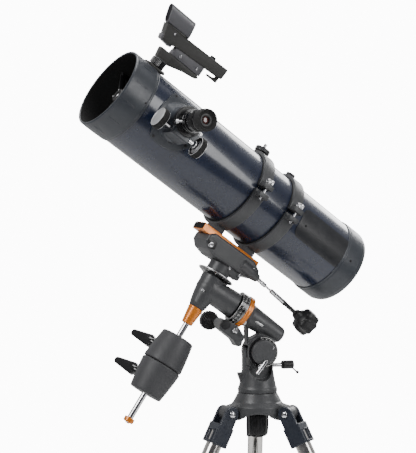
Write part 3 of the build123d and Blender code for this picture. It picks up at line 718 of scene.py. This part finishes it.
def focuser_parts():
    cast_copy("focuser_body", "optical_tube", CELL, 1.3, 6)
    facing = optical @ spin(-90 + FOCUSER_TURN) @ shift(0, 0, FOCUSER_STATION)
    rows = []
    for along, half in FLANGE_OUTLINE:
        turns = [math.radians(half * (step / 16 - 1)) for step in range(33)]
        top = [(FLANGE_TOP * math.cos(turn), FLANGE_TOP * math.sin(turn), along) for turn in turns]
        foot = [(80.7 * math.cos(turn), 80.7 * math.sin(turn), along) for turn in reversed(turns)]
        rows.append(top + foot)
    piece("focuser_flange", loft(rows), facing, "optical_tube", CELL)
    corners = ((24, 32), (24, -32), (-38, 17), (-38, -17))
    seat = shift(FLANGE_TOP - 0.2) @ spin(90, "Y")
    places = [facing @ spin(turn) @ shift(0, 0, along) @ seat for along, turn in corners]
    screws = gather(moved(socket_screw(2.6, 1.0, 28), place) for place in places)
    piece("focuser_screws", screws, PLACED, "optical_tube", BLACK)
    collar = lathe([(27.6, 118), (28.6, 118), (28.6, 127.6), (27.6, 128.4), (20, 128.4), (20, 127)], 96, 0.4)
    piece("focuser_neck_ring", collar, focuser, "optical_tube", BLACK)
    for side in (-1, 1):
        turn = focuser @ shift(0, PINION_OFFSET, PINION_HEIGHT) @ spin(90 * side, "Y")
        name = "sky" if side > 0 else "mirror"
        rim = lathe([(15, 41), (19.6, 41), (20.4, 42), (20.4, 51.5), (19.6, 52.5), (15, 52.5)], 288, 0.3,
                    (48, 0.8, 41.8, 51.8, 0.6))
        piece("focus_grip_" + name, rim, turn, "focus_knobs", RUBBER)
        dish = lathe([(0, 46), (16.5, 43.5), (18.3, 40.4), (19.3, 40.2), (19.4, 41.6), (17, 42.4), (17, 51.6),
                      (18.8, 52.4), (18.8, 53.8), (17.8, 54), (16, 52.9), (15, 53.3), (8, 53.8), (0, 54)],
                     144, 0.4)
        piece("focus_dish_" + name, dish, turn, "focus_knobs", SATIN)
        neck = lathe([(0, 8), (3, 8), (3, 33), (5.5, 34), (8, 35.5), (8, 47), (0, 47)], 64, 0.5)
        piece("focus_shaft_" + name, neck, turn, "focus_knobs", CHROME, ["focus_knobs"] if side > 0 else ())
    tube = band(16.4, 18.9, 62, DRAW_END - 12, 96, 0.3)
    piece("draw_tube_barrel", tube, focuser, "draw_tube", CHROME, ["draw_tube"])
    head = lathe([(16.1, DRAW_END - 13), (21.2, DRAW_END - 13), (22, DRAW_END - 12), (22, DRAW_END - 9),
                  (21.2, DRAW_END - 8.4), (21.2, DRAW_END - 2.6), (22, DRAW_END - 2), (21.4, DRAW_END),
                  (16.1, DRAW_END)], 96, 0.35)
    piece("draw_tube_collar", head, focuser, "draw_tube", GLOSS_BLACK)
    screws = bmesh.new()
    for turn, length in ((35, 17), (155, 10)):
        place = focuser @ spin(turn) @ shift(20, 0, DRAW_END - 6) @ spin(90, "Y")
        one = merge(bar(1.6, 0, length - 5, 24, 0.2), knurled(3.6, length - 6, length, 20, 0.25, 0.5))
        screws = merge(screws, moved(one, place))
    piece("eyepiece_screws", screws, PLACED, "draw_tube", CHROME)
    start = DRAW_END + 0.4
    shell = lathe([(13, start), (19.6, start), (20, start + 0.8), (20, start + 7), (19.2, start + 9),
                   (18.6, start + 11), (18.6, start + 20), (19.6, start + 24), (19.6, start + 37),
                   (18.4, start + 38), (13, start + 38)], 128, 0.4)
    piece("eyepiece_shell", shell, focuser, "eyepiece", GLOSS_BLACK, ["eyepiece"])
    grip = bmesh.new()
    for index in range(4):
        low = start + 12 + 2.2 * index
        grip = merge(grip, band(18.4, 19.2, low, low + 1.3, 96, 0.25))
    piece("eyepiece_grip", grip, focuser, "eyepiece", RUBBER)
    cup = lathe([(19.4, start + 26), (20.4, start + 27), (20.6, start + 40), (19.6, start + 44.4),
                 (17.8, start + 44.6), (14.5, start + 39.5), (10.5, start + 37.6), (10.5, start + 35),
                 (19.4, start + 35)], 128, 0.8)
    piece("eyepiece_cup", cup, focuser, "eyepiece", RUBBER)
    retainer = lathe([(6.6, start + 34), (11.5, start + 34), (11.5, start + 38), (8.4, start + 38),
                      (6.6, start + 36.6)], 96, 0.3)
    piece("eyepiece_retainer", retainer, focuser, "eyepiece", BLACK)
    lens = lathe([(0, start + 30), (7.2, start + 30), (7.2, start + 35), (4, start + 36), (0, start + 36.4)],
                 64, 0.3)
    piece("eyepiece_lens", lens, focuser, "eyepiece", LENS)
    barrel = band(13.5, 15.8, DRAW_END - 28, DRAW_END + 1, 96, 0.3)
    piece("eyepiece_barrel", barrel, focuser, "eyepiece", CHROME)


# Finder, in its frame: X towards the sky, Y to the camera's side, Z away from the tube
FOOT_STATION = 350
HOOD_MIDDLE = 180
HOOD_TOP = 196.8


def finder_parts():
    foot = brick(330, 370, -13, 13, 81, 86, 1.2, 3)
    foot = merge(foot, brick(334, 366, -10, 10, 85, 87.5, 1.0, 3))
    post = prism([(338, 101), (362, 101), (366, 118), (365, 122.4), (336, 122.4)], -8, 8, 1.2, 3, 3)
    arm = prism([(336, 100), (350, 104), (366, 118), (364, 122.4), (274, 122.4), (269, 119), (274, 114),
                 (300, 110)], -7.8, 7.8, 1.2, 3, 3)
    upright = spin(90, "X") @ Matrix.Scale(-1, 4, (0, 0, 1))
    bracket = merge(foot, moved(post, upright), moved(arm, upright))
    finder_piece("finder_stalk", bracket, FINDER_CASE, ["finder_bracket"])
    nut = moved(knurled(15, 87.5, 101, 32, 0.9, 0.8, 8), shift(FOOT_STATION))
    finder_piece("finder_foot_nut", nut, GLOSS_BLACK)
    cap = moved(lathe([(0, 100.8), (13.2, 100.8), (13.2, 102.6), (11.5, 103.4), (0, 103.4)], 96, 0.3),
                shift(FOOT_STATION))
    finder_piece("finder_nut_cap", cap, CASTING, slot="charcoal_plastic")
    screws = bmesh.new()
    for along in (334, 366):
        screws = merge(screws, moved(socket_screw(2, 1.2, 24), shift(along, 10.8, 85.9)))
        screws = merge(screws, moved(socket_screw(2, 1.2, 24), shift(along, -10.8, 85.9)))
    finder_piece("finder_foot_screws", screws, CHROME)
    rail = prism([(271, 122.4), (343, 122.4), (341, 138), (272, 142)], -9.6, 9.6, 0.9, 3, 1.5)
    finder_piece("finder_rail", moved(rail, upright), FINDER_GREY, ["finder_body"])
    screws = gather(moved(socket_screw(radius, 1.6, 30), shift(along, reach, out) @ spin(-90, "X"))
                    for along, out, reach, radius in ((325.5, 129, 9.3, 2.9), (284, 131.5, 9.3, 2.9),
                                                      (362, 154.5, 11.6, 2.6)))
    finder_piece("finder_screws", screws, CHROME)
    body = prism([(232, 145), (341, 137.6), (362, 132), (376, 134), (378, 142), (386, 163), (345, 165.5),
                  (338, 163.5), (232, 167.5)], -12, 12, 1.6, 4, 2)
    shelf = prism([(352, 130), (378, 132), (381, 142), (352, 140)], -10.5, 10.5, 1.0, 3, 2)
    tail = brick(230.6, 234, -9, 9, 148, 165, 0.8, 2)
    finder_piece("finder_housing", merge(moved(body, upright), tail), FINDER_CASE)
    finder_piece("finder_shelf", moved(shelf, upright), FINDER_GREY)
    trim = bmesh.new()
    for side in (-1, 1):
        low, high = sorted((9.5 * side, 12.1 * side))
        strip = prism([(236, 165.6), (336, 162.2), (336, 163.6), (236, 167)], low, high, 0.2, 2)
        trim = merge(trim, moved(strip, upright))
    finder_piece("finder_trim", trim, FINDER_GREY)
    outer, inner = [], []
    for step in range(64):
        angle = 2 * math.pi * step / 64
        across = math.copysign(abs(math.cos(angle)) ** 0.55, math.cos(angle))
        tall = math.copysign(abs(math.sin(angle)) ** 0.55, math.sin(angle))
        outer.append((12.5 * across, HOOD_MIDDLE + 16.8 * tall))
        inner.append((10.9 * across, HOOD_MIDDLE + 15.2 * tall))
    rows = []
    for reach, ring, lean in ((340, outer, 0.2), (398, outer, 0.36), (399.2, inner, 0.36), (344, inner, 0.2)):
        rows.append([(reach - lean * (HOOD_TOP - out), side, out) for side, out in ring])
    finder_piece("finder_hood", loft(rows), FINDER_GREY, slot="black_plastic")
    knob = moved(knurled(6, -2, 3.4, 20, 0.5, 0.6), shift(267.5, 0, 167.4))
    finder_piece("finder_switch", knob, BLACK)
    outline = [(234, 145), (234, 134), (257, 134), (257, 138), (240, 138.6), (240, 145)]
    hook = prism(outline, -5, 5, 0.6, 2, 0.8)
    finder_piece("finder_battery_latch", moved(hook, upright), FINDER_CASE)


# Declination head
def weight_piece(name, top, bottom, top_radius, bottom_radius):
    wall = []
    for step in range(9):
        share = step / 8
        swell = 0.6 * math.sin(math.pi * share)
        wall.append((bottom_radius + (top_radius - bottom_radius) * share + swell,
                     bottom + 3 + (top - bottom - 6) * share))
    outline = [(6.3, bottom), (bottom_radius - 3, bottom), (bottom_radius - 0.8, bottom + 0.9)] + wall
    outline += [(top_radius - 0.8, top - 0.9), (top_radius - 3, top), (6.3, top)]
    body = lathe(outline, 192, 0.7)
    piece(name + "_casting", body, declination, name, WEIGHT, [name])
    place = declination @ shift(0, 0, (top + bottom) / 2) @ spin(WEIGHT_KNOB_TURN)
    boss = lathe([(7.4, 35), (9.4, 35), (9.0, 38.8), (7.4, 38.8)], 64, 0.5)
    piece(name + "_boss", boss, place @ spin(90, "Y"), name, WEIGHT)
    points = []
    for middle, reach, first, sweep in ((58, 13.5, 105, 150), (98, 7, -85, 170)):
        for step in range(13):
            angle = math.radians(first + sweep * step / 12)
            points.append((middle + reach * math.cos(angle), reach * math.sin(angle)))
    wing = prism(points, -6.5, 6.5, 3.4, 6)
    wing = merge(wing, moved(lathe([(0, 40), (6.2, 40), (8.4, 47), (9, 56), (0, 56)], 64, 0.6),
                             spin(90, "Y")))
    piece(name + "_lock_knob", moved(wing, spin(90, "X")), place, name + "_knob", GLOSS_BLACK,
          [name + "_knob"])
    stem = moved(bar(4, 7, 42, 32, 0.4), spin(90, "Y"))
    piece(name + "_lock_stem", stem, place, name + "_knob", CHROME)


def declination_head():
    cast_copy("dec_housing", "dec_housing", CASTING, 1.2, 7)
    collar = lathe([(6.1, -46), (14.6, -46), (15.6, -47), (15.6, -49.5), (15.0, -50.3), (11.2, -81),
                    (10.4, -82), (6.1, -82)], 128, 0.5)
    piece("shaft_cone", collar, declination, "dec_housing", ORANGE, ["shaft_collar"])
    rod = bar(6, -300, -32, 96, 0.6)
    piece("weight_shaft", rod, declination, "dec_housing", CHROME, ["counterweight_shaft"])
    stop = lathe([(0, -304), (8.5, -304), (10.4, -302.2), (10.4, -294.6), (9.6, -294), (6, -294), (0, -295)],
                 96, 0.5)
    piece("safety_stop", stop, declination, "dec_housing", ORANGE, ["shaft_stop"])
    screw = moved(socket_screw(4, 2.2, 36), spin(180, "X") @ shift(0, 0, 303.8))
    piece("safety_stop_screw", screw, declination, "dec_housing", CHROME)
    places = [branch @ spin(turn) @ shift(22.4, 0, -12) @ spin(96, "Y") for turn in (62, -118)]
    screws = gather(moved(socket_screw(3.2, 2.4, 36), place) for place in places)
    piece("housing_screws", screws, PLACED, "dec_housing", CHROME)
    weight_piece("upper_weight", -113, -175.6, 33.5, 41)
    weight_piece("lower_weight", -176.4, -240, 41, 33.5)
    dial = lathe([(16.2, 26.2), (29.5, 26), (30.2, 26.1), (37.2, 29.4), (37.2, 31.6), (34, 32.4),
                  (16.2, 32.4)], 160, 0.25)
    piece("dec_dial", dial, declination, "dec_circle", GLOSS_BLACK, ["dec_circle"], "circle_metal")
    edge = lathe([(36.9, 29.1), (38.1, 29.7), (38.1, 31.3), (36.9, 31.8)], 160, 0.2)
    piece("dec_dial_edge", edge, declination, "dec_circle", EDGE_SILVER)
    marks = bmesh.new()
    slope = math.degrees(math.atan2(3.3, 7))
    for index in range(72):
        length = 3.4 if index % 6 == 0 else 2.0
        one = brick(-length, 0, -0.25, 0.25, -0.12, 0.12, 0.03, 1)
        one.transform(spin(5 * index) @ shift(36.4, 0, 29.0) @ spin(-slope, "Y"))
        marks = merge(marks, one)
    for index in range(12):
        value = 90 - abs(90 - 30 * (index % 6))
        digits = moved(numeral(str(value), 3.4), spin(180, "X"))
        digits.transform(spin(30 * index) @ shift(32.6, 0, 27.2) @ spin(-slope, "Y") @ spin(90))
        marks = merge(marks, digits)
    piece("dec_dial_marks", marks, declination, "dec_circle", WHITE_MARK)
    pointer = prism([(21, -2.4), (29.5, -0.4), (29.5, 0.4), (21, 2.4)], 23.2, 25.4, 0.2, 1)
    piece("dec_pointer", moved(pointer, spin(250)), declination, "dec_housing", WHITE_MARK)


def saddle():
    cast_copy("dec_saddle", "dec_saddle", CASTING, 1.2, 6)
    screw = merge(socket_screw(5.2, 5, 40), bar(3, -8, 1, 24, 0.3))
    place = declination @ shift(59.8, 29, 67.1) @ spin(-90, "X")
    second = moved(socket_screw(5.2, 5, 40), declination @ shift(-50, 29, 76) @ spin(-90, "X"))
    screws = merge(moved(screw, place), second)
    piece("saddle_screws", screws, PLACED, "dec_saddle", CHROME)
    # A black plate on the saddle's face stands for a recess in the casting: painted shade of the recess
    recess_shade_plate = prism([(58, 60), (70, 70), (70, 79), (50, 79), (46, 64)], 29.2, 30.4, 0.4, 2, 3)
    facing = spin(90, "X") @ Matrix.Scale(-1, 4, (0, 0, 1))
    piece("saddle_recess_shade", moved(recess_shade_plate, facing), declination, "dec_saddle", BLACK)
    block = brick(-39, 1, 1, 22.5, 43, 62, 2, 4)
    for along in (-33, -6):
        block = merge(block, moved(bar(5, 0, 2, 40, 0.3), shift(along, 22, 53) @ spin(-90, "X")))
    piece("worm_block", block, declination, "dec_saddle", CASTING)
    screws = gather(moved(socket_screw(3, 2, 32), shift(along, 23.8, 53) @ spin(-90, "X"))
                    for along in (-33, -6))
    piece("worm_block_screws", screws, declination, "dec_saddle", CHROME)
    cap = brick(86 - TUBE_OFFSET, 98 - TUBE_OFFSET, -19, 19, 87.6, 89.6, 0.6, 2)
    piece("dovetail_end_cap", cap, optical, "cradle", MATT_BLACK)
    places = [optical @ shift(84.3 - TUBE_OFFSET, 0, station) @ spin(-90, "Y") for station in (-54, 76, 10)]
    screws = gather(moved(socket_screw(3.4, 0.6, 32), place) for place in places)
    piece("dovetail_screws", screws, PLACED, "cradle", BLACK, slot="chrome")


def declination_control():
    body = "dec_control"
    ferrule = bar(5, -34, 8, 64, 0.4)
    ferrule = merge(ferrule, lathe([(2.2, 6), (4.4, 6.4), (4.4, 14), (3.6, 14.6), (3.6, 17), (4.4, 17.6),
                                    (4.4, 30), (3.4, 31), (2.2, 31)], 64, 0.3), bar(2.2, 30, 50, 40, 0.2))
    ferrule = merge(ferrule, lathe([(2.1, 47), (4.4, 47), (4.9, 48), (4.9, 56), (4.4, 56.6), (4.4, 58),
                                    (4.9, 58.6), (4.9, 85), (4.4, 86), (2.1, 86)], 64, 0.3))
    piece("control_shaft", ferrule, control, body, CHROME)
    sheath = lathe([(2, 84), (4.7, 84), (5.1, 85), (5.1, 92), (4.5, 93), (4.5, 127), (2, 127)], 64, 0.3)
    piece("control_sheath", sheath, control, body, BLACK)
    screws = gather(moved(socket_screw(1.6, 1.2, 24), spin(70) @ shift(3.8, 0, station) @ spin(90, "Y"))
                    for station in (22, 53))
    piece("control_set_screws", screws, control, body, BLACK)
    profile = [(0, 124), (8.2, 124), (9.2, 125.4), (11.5, 134), (16.5, 139), (22, 141), (25, 144.5),
               (26, 150), (26, 166), (24.4, 170.4), (20, 172), (8, 172.6), (7, 171.2), (0, 171)]
    knob = lathe(profile, 192, 1.5, (8, 3.2, 140, 172.2, 1.2))
    piece("control_knob", knob, control, body, BLACK, ["dec_control"])


# Polar axis
HINGE_HEIGHT = 759


def polar_axis():
    cast_copy("polar_housing", "polar_housing", CASTING, 1.2, 6)
    cast_copy("ra_worm_housing", "polar_housing", CASTING, 1.0, 6)
    circle = lathe([(20.2, -83.6), (31.6, -83.6), (32.4, -82.8), (32.4, -66.6), (31.6, -65.8), (20.2, -65.8)],
                   192, 0.3)
    piece("hour_dial", circle, polar, "ra_circle", GLOSS_BLACK, ["ra_circle"], "circle_metal")
    edge = merge(lathe([(31.4, -67.2), (32.6, -67.2), (32.6, -66.4), (31.4, -66.0)], 160, 0.2),
                 lathe([(31.4, -83.5), (32.6, -83), (32.6, -82.4), (31.4, -82.4)], 160, 0.2))
    piece("hour_dial_edges", edge, polar, "ra_circle", EDGE_SILVER)
    marks = merge(ticks(32.4, -82, 144, 4.4, 2.4), ticks(32.4, -69.6, 72, 1.8, 1.2))
    for hour in range(24):
        digits = moved(numeral(str(hour), 5.2), spin(90))
        digits.transform(spin(15 * hour) @ shift(32.4, 0, -74.2) @ spin(90, "Y"))
        marks = merge(marks, digits)
    piece("hour_dial_marks", marks, polar, "ra_circle", WHITE_MARK)
    ring = lathe([(20.2, -93.9), (33, -93.9), (34, -93.1), (34, -90.6), (33.3, -90), (33.3, -88.2),
                  (34, -87.6), (34, -85), (33, -84.1), (20.2, -84.1)], 160, 0.3)
    piece("hour_clamp_ring", ring, polar, "polar_housing", ORANGE, ["ra_clamp_ring"])
    lever = bar(2.2, 33, 47, 32, 0.4)
    lever = merge(lever, knurled(4, 45, 52, 20, 0.4, 0.6))
    turn = polar @ spin(205) @ shift(0, 0, -89) @ spin(90, "Y")
    piece("hour_clamp_screw", lever, turn, "polar_housing", CHROME)
    index = brick(26, 34.6, -3, 3, -97.6, -94.2, 0.4, 2)
    piece("hour_index", moved(index, spin(228)), polar, "polar_housing", WHITE_MARK)
    plate_mesh = brick(-9, 9, -2.3, 2.3, -0.6, 1.2, 0.5, 3)
    low, high = Vector((16.1, 21.2, 822.9)), Vector((-8.2, 21.2, 807.6))
    slope = math.degrees(math.atan2(high.z - low.z, high.x - low.x))
    place = level @ Matrix.Translation((low + high) / 2) @ spin(-slope, "Y") @ spin(-90, "X")
    piece("barrel_plate", plate_mesh, place, "polar_housing", EDGE_SILVER, slot="chrome")
    cap = lathe([(0, -183.5), (12, -183.5), (13.6, -182.4), (13.6, -180), (0, -180)], 96, 0.4)
    piece("polar_scope_cap", cap, polar, "polar_housing", BLACK)
    scale_face = band(24.4, 30.6, 23.8, 24.9, 160, 0.15)
    scale_marks = face_ticks(30, 24.9, 91, 100, 282)
    for index in range(10):
        digits = moved(numeral(str(10 * index), 3.2, 0.14), shift(0, 0, 24.95))
        angle = 100 + 18.2 * index + 9
        place = spin(angle) @ shift(25.4) @ spin(-90)
        digits.transform(place)
        scale_marks = merge(scale_marks, digits)
    hinge = level @ shift(-4, 0, HINGE_HEIGHT) @ spin(-90, "X")
    piece("latitude_scale", scale_face, hinge, "polar_housing", GLOSS_BLACK, slot="circle_metal")
    piece("latitude_marks", scale_marks, hinge, "polar_housing", WHITE_MARK)
    boss = lathe([(0, 33.4), (22, 33.4), (24.6, 32.4), (25.4, 30.6), (25.4, 25), (0, 25)], 128, 0.8)
    piece("hinge_disc", boss, hinge, "polar_housing", CASTING)
    back = moved(lathe([(0, 33.8), (8, 33.8), (8, 38), (7, 38.8), (0, 38.8)], 6, 0.4), spin(180, "X"))
    piece("hinge_nut", back, hinge, "polar_housing", CHROME)
    screws = gather(moved(socket_screw(radius, 2.6, 36), shift(x, y, z) @ spin(-90, "X"))
                    for x, y, z, radius in ((55.7, 16.6, 802.8, 4.2), (-21.1, 32.6, 767.6, 2.8)))
    piece("housing_cap_screws", screws, level, "polar_housing", CHROME)
    worm_cap = lathe([(0, 16.6), (9.6, 16.6), (9.6, 18.2), (8.8, 18.8), (0, 18.8)], 64, 0.3)
    worm_cap = merge(worm_cap, band(4.4, 9.6, -33, -29.6, 64, 0.4))
    worm_line = level @ shift(72, 0, 815) @ spin(-90, "X")
    piece("worm_caps", worm_cap, worm_line, "polar_housing", BLACK)
    sleeve = band(3.6, 6, -47.6, -32.4, 48, 0.4)
    shaft = merge(bar(4, -90, 6, 48, 0.3), sleeve)
    piece("hour_control_shaft", shaft, worm_line, "ra_knob", CHROME, ["ra_knob"])
    face = [(0, -86.6), (5, -86.6), (6, -88), (9, -88.4), (9.6, -87.7), (11, -87.7), (11.6, -88.4),
            (13, -88.4), (13.6, -87.7), (15, -87.7), (15.6, -88.4), (18.6, -88.6), (20, -90.2), (20, -102),
            (18.6, -103.6), (0, -104)]
    knob = lathe(list(reversed(face)), 216, 0.4, (18, 1.3, -102.8, -89.6, 0.8))
    piece("hour_control_knob", knob, worm_line, "ra_knob", BLACK)


# Base
LATITUDE_BOLT = 731
AZIMUTH_BOLT = 730


def base():
    cast_copy("mount_base", "mount_base", CASTING, 1.2, 6)
    screw = level @ shift(4, 0, LATITUDE_BOLT) @ spin(-90, "X")
    piece("latitude_bolt", merge(bar(4, 1, 38, 40, 0.4), bar(6.4, 34.4, 36, 40, 0.3)), screw,
          "latitude_front_bolt", CHROME, ["latitude_front_bolt"])
    handle = moved(bar(3.7, -17, 17, 48, 1.4), level @ shift(4, 38.4, LATITUDE_BOLT) @ spin(-38, "Y"))
    piece("latitude_bolt_bar", handle, PLACED, "latitude_front_bolt", CHROME)
    line = level @ shift(0, 0, AZIMUTH_BOLT) @ spin(90, "Y")
    stem = bar(4, -52, -13, 40, 0.3)
    for turn in range(22):
        stem = merge(stem, lathe([(3.9, -50.6 + 1.6 * turn), (4.3, -50 + 1.6 * turn),
                                  (3.9, -49.4 + 1.6 * turn)], 32, 0))
    piece("azimuth_bolt", stem, line, "latitude_rear_bolt", CHROME, ["latitude_rear_bolt"])
    knob = lathe([(0, -76), (7.4, -76), (8.6, -74.6), (8.6, -54), (7.6, -51.4), (0, -51)], 96, 0.6)
    piece("azimuth_bolt_knob", knob, line, "latitude_rear_bolt", BLACK)
    arm = level @ shift(-66, 0, AZIMUTH_BOLT) @ spin(26) @ spin(-118, "X")
    piece("azimuth_bolt_bar", bar(1.7, 0, 27, 32, 0.2), arm, "latitude_rear_bolt", CHROME)
    ball = []
    for step in range(17):
        angle = math.radians(-90 + 180 * step / 16)
        ball.append((3.2 * math.cos(angle), 28 + 3.2 * math.sin(angle)))
    piece("azimuth_bolt_ball", lathe(ball, 48, 0), arm, "latitude_rear_bolt", BLACK)


# Tripod
def dome(radius, low, high):
    points = [(0, low), (radius, low), (radius, low + (high - low) * 0.35)]
    for step in range(1, 9):
        angle = math.radians(90 * step / 8)
        points.append((radius * math.cos(angle), low + (high - low) * (0.35 + 0.65 * math.sin(angle))))
    return lathe(points, 64, 0)


def tripod_head():
    cast_copy("tripod_hub", "tripod_head", CASTING, 1.2, 6)
    caps = bmesh.new()
    for side in LEGS:
        place = leg_frame(side) @ spin(90, "Y")
        far_cap = moved(dome(6.5, 19.3, 24.2), spin(180, "X"))
        bolt = merge(bar(4, -20, 20, 40, 0.3), dome(6.5, 19.3, 24.2), far_cap)
        caps = merge(caps, moved(bolt, place))
    piece("leg_bolts", caps, PLACED, "tripod_head", CHROME, ["leg_pivot_bolts"])
    profile = [(0, 590), (14, 590), (17.6, 590.8), (20.6, 594), (21.6, 600), (22.5, 612), (22.3, 630),
               (21, 636), (19, 636.7), (0, 636.7)]
    grip = lathe(profile, 192, 1.2, (8, 2.8, 591, 636, 1.4))
    piece("hub_knob_grip", grip, world, "hub_knob", BLACK, ["hub_knob"])
    piece("hub_knob_bolt", bar(5, 636, 688, 40, 0.4), world, "hub_knob", CHROME)
    piece("hub_knob_disc", lathe([(0, 588.6), (12, 588.6), (13, 589.4), (13, 591), (0, 591)], 64, 0.4),
          world, "hub_knob", GLOSS_BLACK)


def leg(side):
    place = leg_frame(side)
    body = side + "_leg"
    extension = side + "_extension"
    cast_copy(side + "_leg_castings", body, FORK, 1.0, 5)
    tube = band(14.475, 15.875, 34.5, 611.5, 128, 0.3)
    piece(side + "_upper_tube", tube, place, body, LEG_STEEL, [side + "_leg_tube"])
    inner = band(12.6, 14.1, 180, 706, 128, 0.3)
    piece(side + "_lower_tube", inner, place, extension, LEG_STEEL, [side + "_leg_extension"])
    heights = [655.5 + 5.6 * index for index in range(5)]
    marks = gather(band(14.05, 14.25, height, height + 0.5, 64, 0) for height in heights)
    piece(side + "_height_marks", marks, place, extension, BLACK, slot="steel_tube")
    sides = ((-12.5, 12.5, 61.6, 64), (-12.5, 12.5, 38, 40.4), (-12.5, -10, 38, 64), (10, 12.5, 38, 64))
    frame_edge = gather(brick(x0, x1, 17.2, 18.9, z0, z1, 0.5, 2) for x0, x1, z0, z1 in sides)
    piece(side + "_fork_panel", frame_edge, place, body, FORK)
    knob_line = place @ shift(0, 0, 632) @ spin(-90, "X")
    grip = lathe([(0, 31), (9, 31), (11.6, 32), (13, 35), (13, 46), (11.4, 48.6), (7, 49.2), (0, 49.4)], 160,
                 0.8, (8, 2.2, 32.4, 48.4, 1.2))
    piece(side + "_clamp_grip", grip, knob_line, side + "_leg_knob", BLACK, [side + "_leg_knob"])
    piece(side + "_clamp_stud", bar(4, 14.6, 33, 40, 0.4), knob_line, side + "_leg_knob", CHROME)
    bands = merge(band(20.6, 21.6, 597, 600, 96, 0.3), band(20.6, 21.6, 648, 651, 96, 0.3))
    piece(side + "_clamp_bands", bands, place, body, FORK)
    cast_copy(side + "_foot", extension, RUBBER, 1.0, 4)
    grooves = bmesh.new()
    for index in range(3):
        low = 690 + 4.5 * index
        grooves = merge(grooves, band(18.2, 19.1, low, low + 2, 96, 0.3))
    piece(side + "_foot_ribs", grooves, place, extension, RUBBER)
    bevel_copy(side + "_brace_arm", side + "_brace_arm", LEG_STEEL, 0.5)
    pins = gather(moved(dome(4.6, 6.6, 9.4), shift(0, -28, 400) @ spin(90, "Y") @ spin(turn, "X"))
                  for turn in (0, 180))
    piece(side + "_arm_rivets", pins, place, body, CHROME)


def brace():
    bevel_copy("brace_hub", "brace", FORK, 0.8)
    bevel_copy("accessory_tray", "brace", BLACK, 0.9)
    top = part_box("accessory_tray")[1][2] / MM - 5
    nut = lathe([(0, top), (9, top), (11, top + 1.2), (11, top + 7), (9.6, top + 8.4), (0, top + 8.8)], 144,
                0.5, (6, 1.6, top + 1, top + 8.6, 1.2))
    piece("tray_knob", nut, world, "brace", BLACK)
    rims = bmesh.new()
    for turn in (90, 210, 330):
        for reach, radius in ((-72, 16.1), (-42, 10)):
            ring = band(radius, radius + 1.6, top - 0.4, top + 1.6, 96, 0.4)
            rims = merge(rims, moved(ring, spin(turn) @ shift(reach)))
    piece("tray_hole_rims", rims, world, "brace", BLACK)


# Camera, light and floor
CAMERA_PLACE = (-0.0988, -2.4, 1.008)
CAMERA_LENS = 95.4
LAMP_TARGET = Vector((0, 0, 1.0))


def stage():
    camera_data = bpy.data.cameras.new("camera")
    camera_data.sensor_width = 36
    camera_data.lens = CAMERA_LENS
    camera = bpy.data.objects.new("camera", camera_data)
    camera.location = CAMERA_PLACE
    camera.rotation_euler = (math.radians(90), 0, 0)
    bpy.context.scene.collection.objects.link(camera)
    bpy.context.scene.camera = camera
    mesh = bmesh.new()
    bmesh.ops.create_grid(mesh, x_segments=1, y_segments=1, size=1.3)
    data = bpy.data.meshes.new("floor")
    mesh.to_mesh(data)
    mesh.free()
    floor = bpy.data.objects.new("floor", data)
    floor.location = (0, 0, -0.0005)
    bpy.context.scene.collection.objects.link(floor)
    paint(floor, finish("floor_paper", (0.82, 0.82, 0.82), 0.7, colour_change=0.01))


def lamp(name, place, size_x, size_y, power):
    data = bpy.data.lights.new(name, "AREA")
    data.shape = "RECTANGLE"
    data.size = size_x
    data.size_y = size_y
    data.energy = power
    lamp_object = bpy.data.objects.new(name, data)
    lamp_object.location = place
    aim = LAMP_TARGET - Vector(place)
    lamp_object.rotation_euler = aim.to_track_quat("-Z", "Y").to_euler()
    bpy.context.scene.collection.objects.link(lamp_object)


def lights():
    lamp("key", (-1.9, -2.0, 2.6), 1.4, 1.4, 60)
    lamp("fill", (2.2, -1.6, 1.6), 1.0, 1.8, 34)
    lamp("top", (0.2, 0.4, 3.2), 2.4, 1.6, 55)
    lamp("rim", (1.4, 2.2, 2.0), 1.2, 1.6, 40)
    sky = bpy.data.worlds.new("studio")
    sky.use_nodes = True
    bpy.context.scene.world = sky
    nodes = sky.node_tree.nodes
    links = sky.node_tree.links
    nodes.clear()
    output = nodes.new("ShaderNodeOutputWorld")
    plain = nodes.new("ShaderNodeBackground")
    plain.inputs["Color"].default_value = (1, 1, 1, 1)
    plain.inputs["Strength"].default_value = 12.0
    studio = nodes.new("ShaderNodeBackground")
    studio.inputs["Strength"].default_value = 0.75
    place = nodes.new("ShaderNodeTexCoord")
    split = nodes.new("ShaderNodeSeparateXYZ")
    links.new(place.outputs["Generated"], split.inputs[0])
    shade = nodes.new("ShaderNodeValToRGB")
    shade.color_ramp.elements[0].color = (0.10, 0.10, 0.11, 1)
    shade.color_ramp.elements[1].color = (1, 1, 1, 1)
    middle = shade.color_ramp.elements.new(0.5)
    middle.color = (0.35, 0.35, 0.36, 1)
    spread = nodes.new("ShaderNodeMapRange")
    spread.inputs["From Min"].default_value = -1
    spread.inputs["From Max"].default_value = 1
    links.new(split.outputs["Y"], spread.inputs["Value"])
    links.new(spread.outputs[0], shade.inputs[0])
    links.new(shade.outputs[0], studio.inputs["Color"])
    path = nodes.new("ShaderNodeLightPath")
    choose = nodes.new("ShaderNodeMixShader")
    links.new(path.outputs["Is Camera Ray"], choose.inputs[0])
    links.new(studio.outputs[0], choose.inputs[1])
    links.new(plain.outputs[0], choose.inputs[2])
    links.new(choose.outputs[0], output.inputs[0])


stage()
lights()
main_tube()
front_cell()
rear_cell()
nameplate()
mirrors()
cradle()
focuser_parts()
finder_parts()
declination_head()
saddle()
declination_control()
polar_axis()
base()
tripod_head()
for leg_side in LEGS:
    leg(leg_side)
brace()
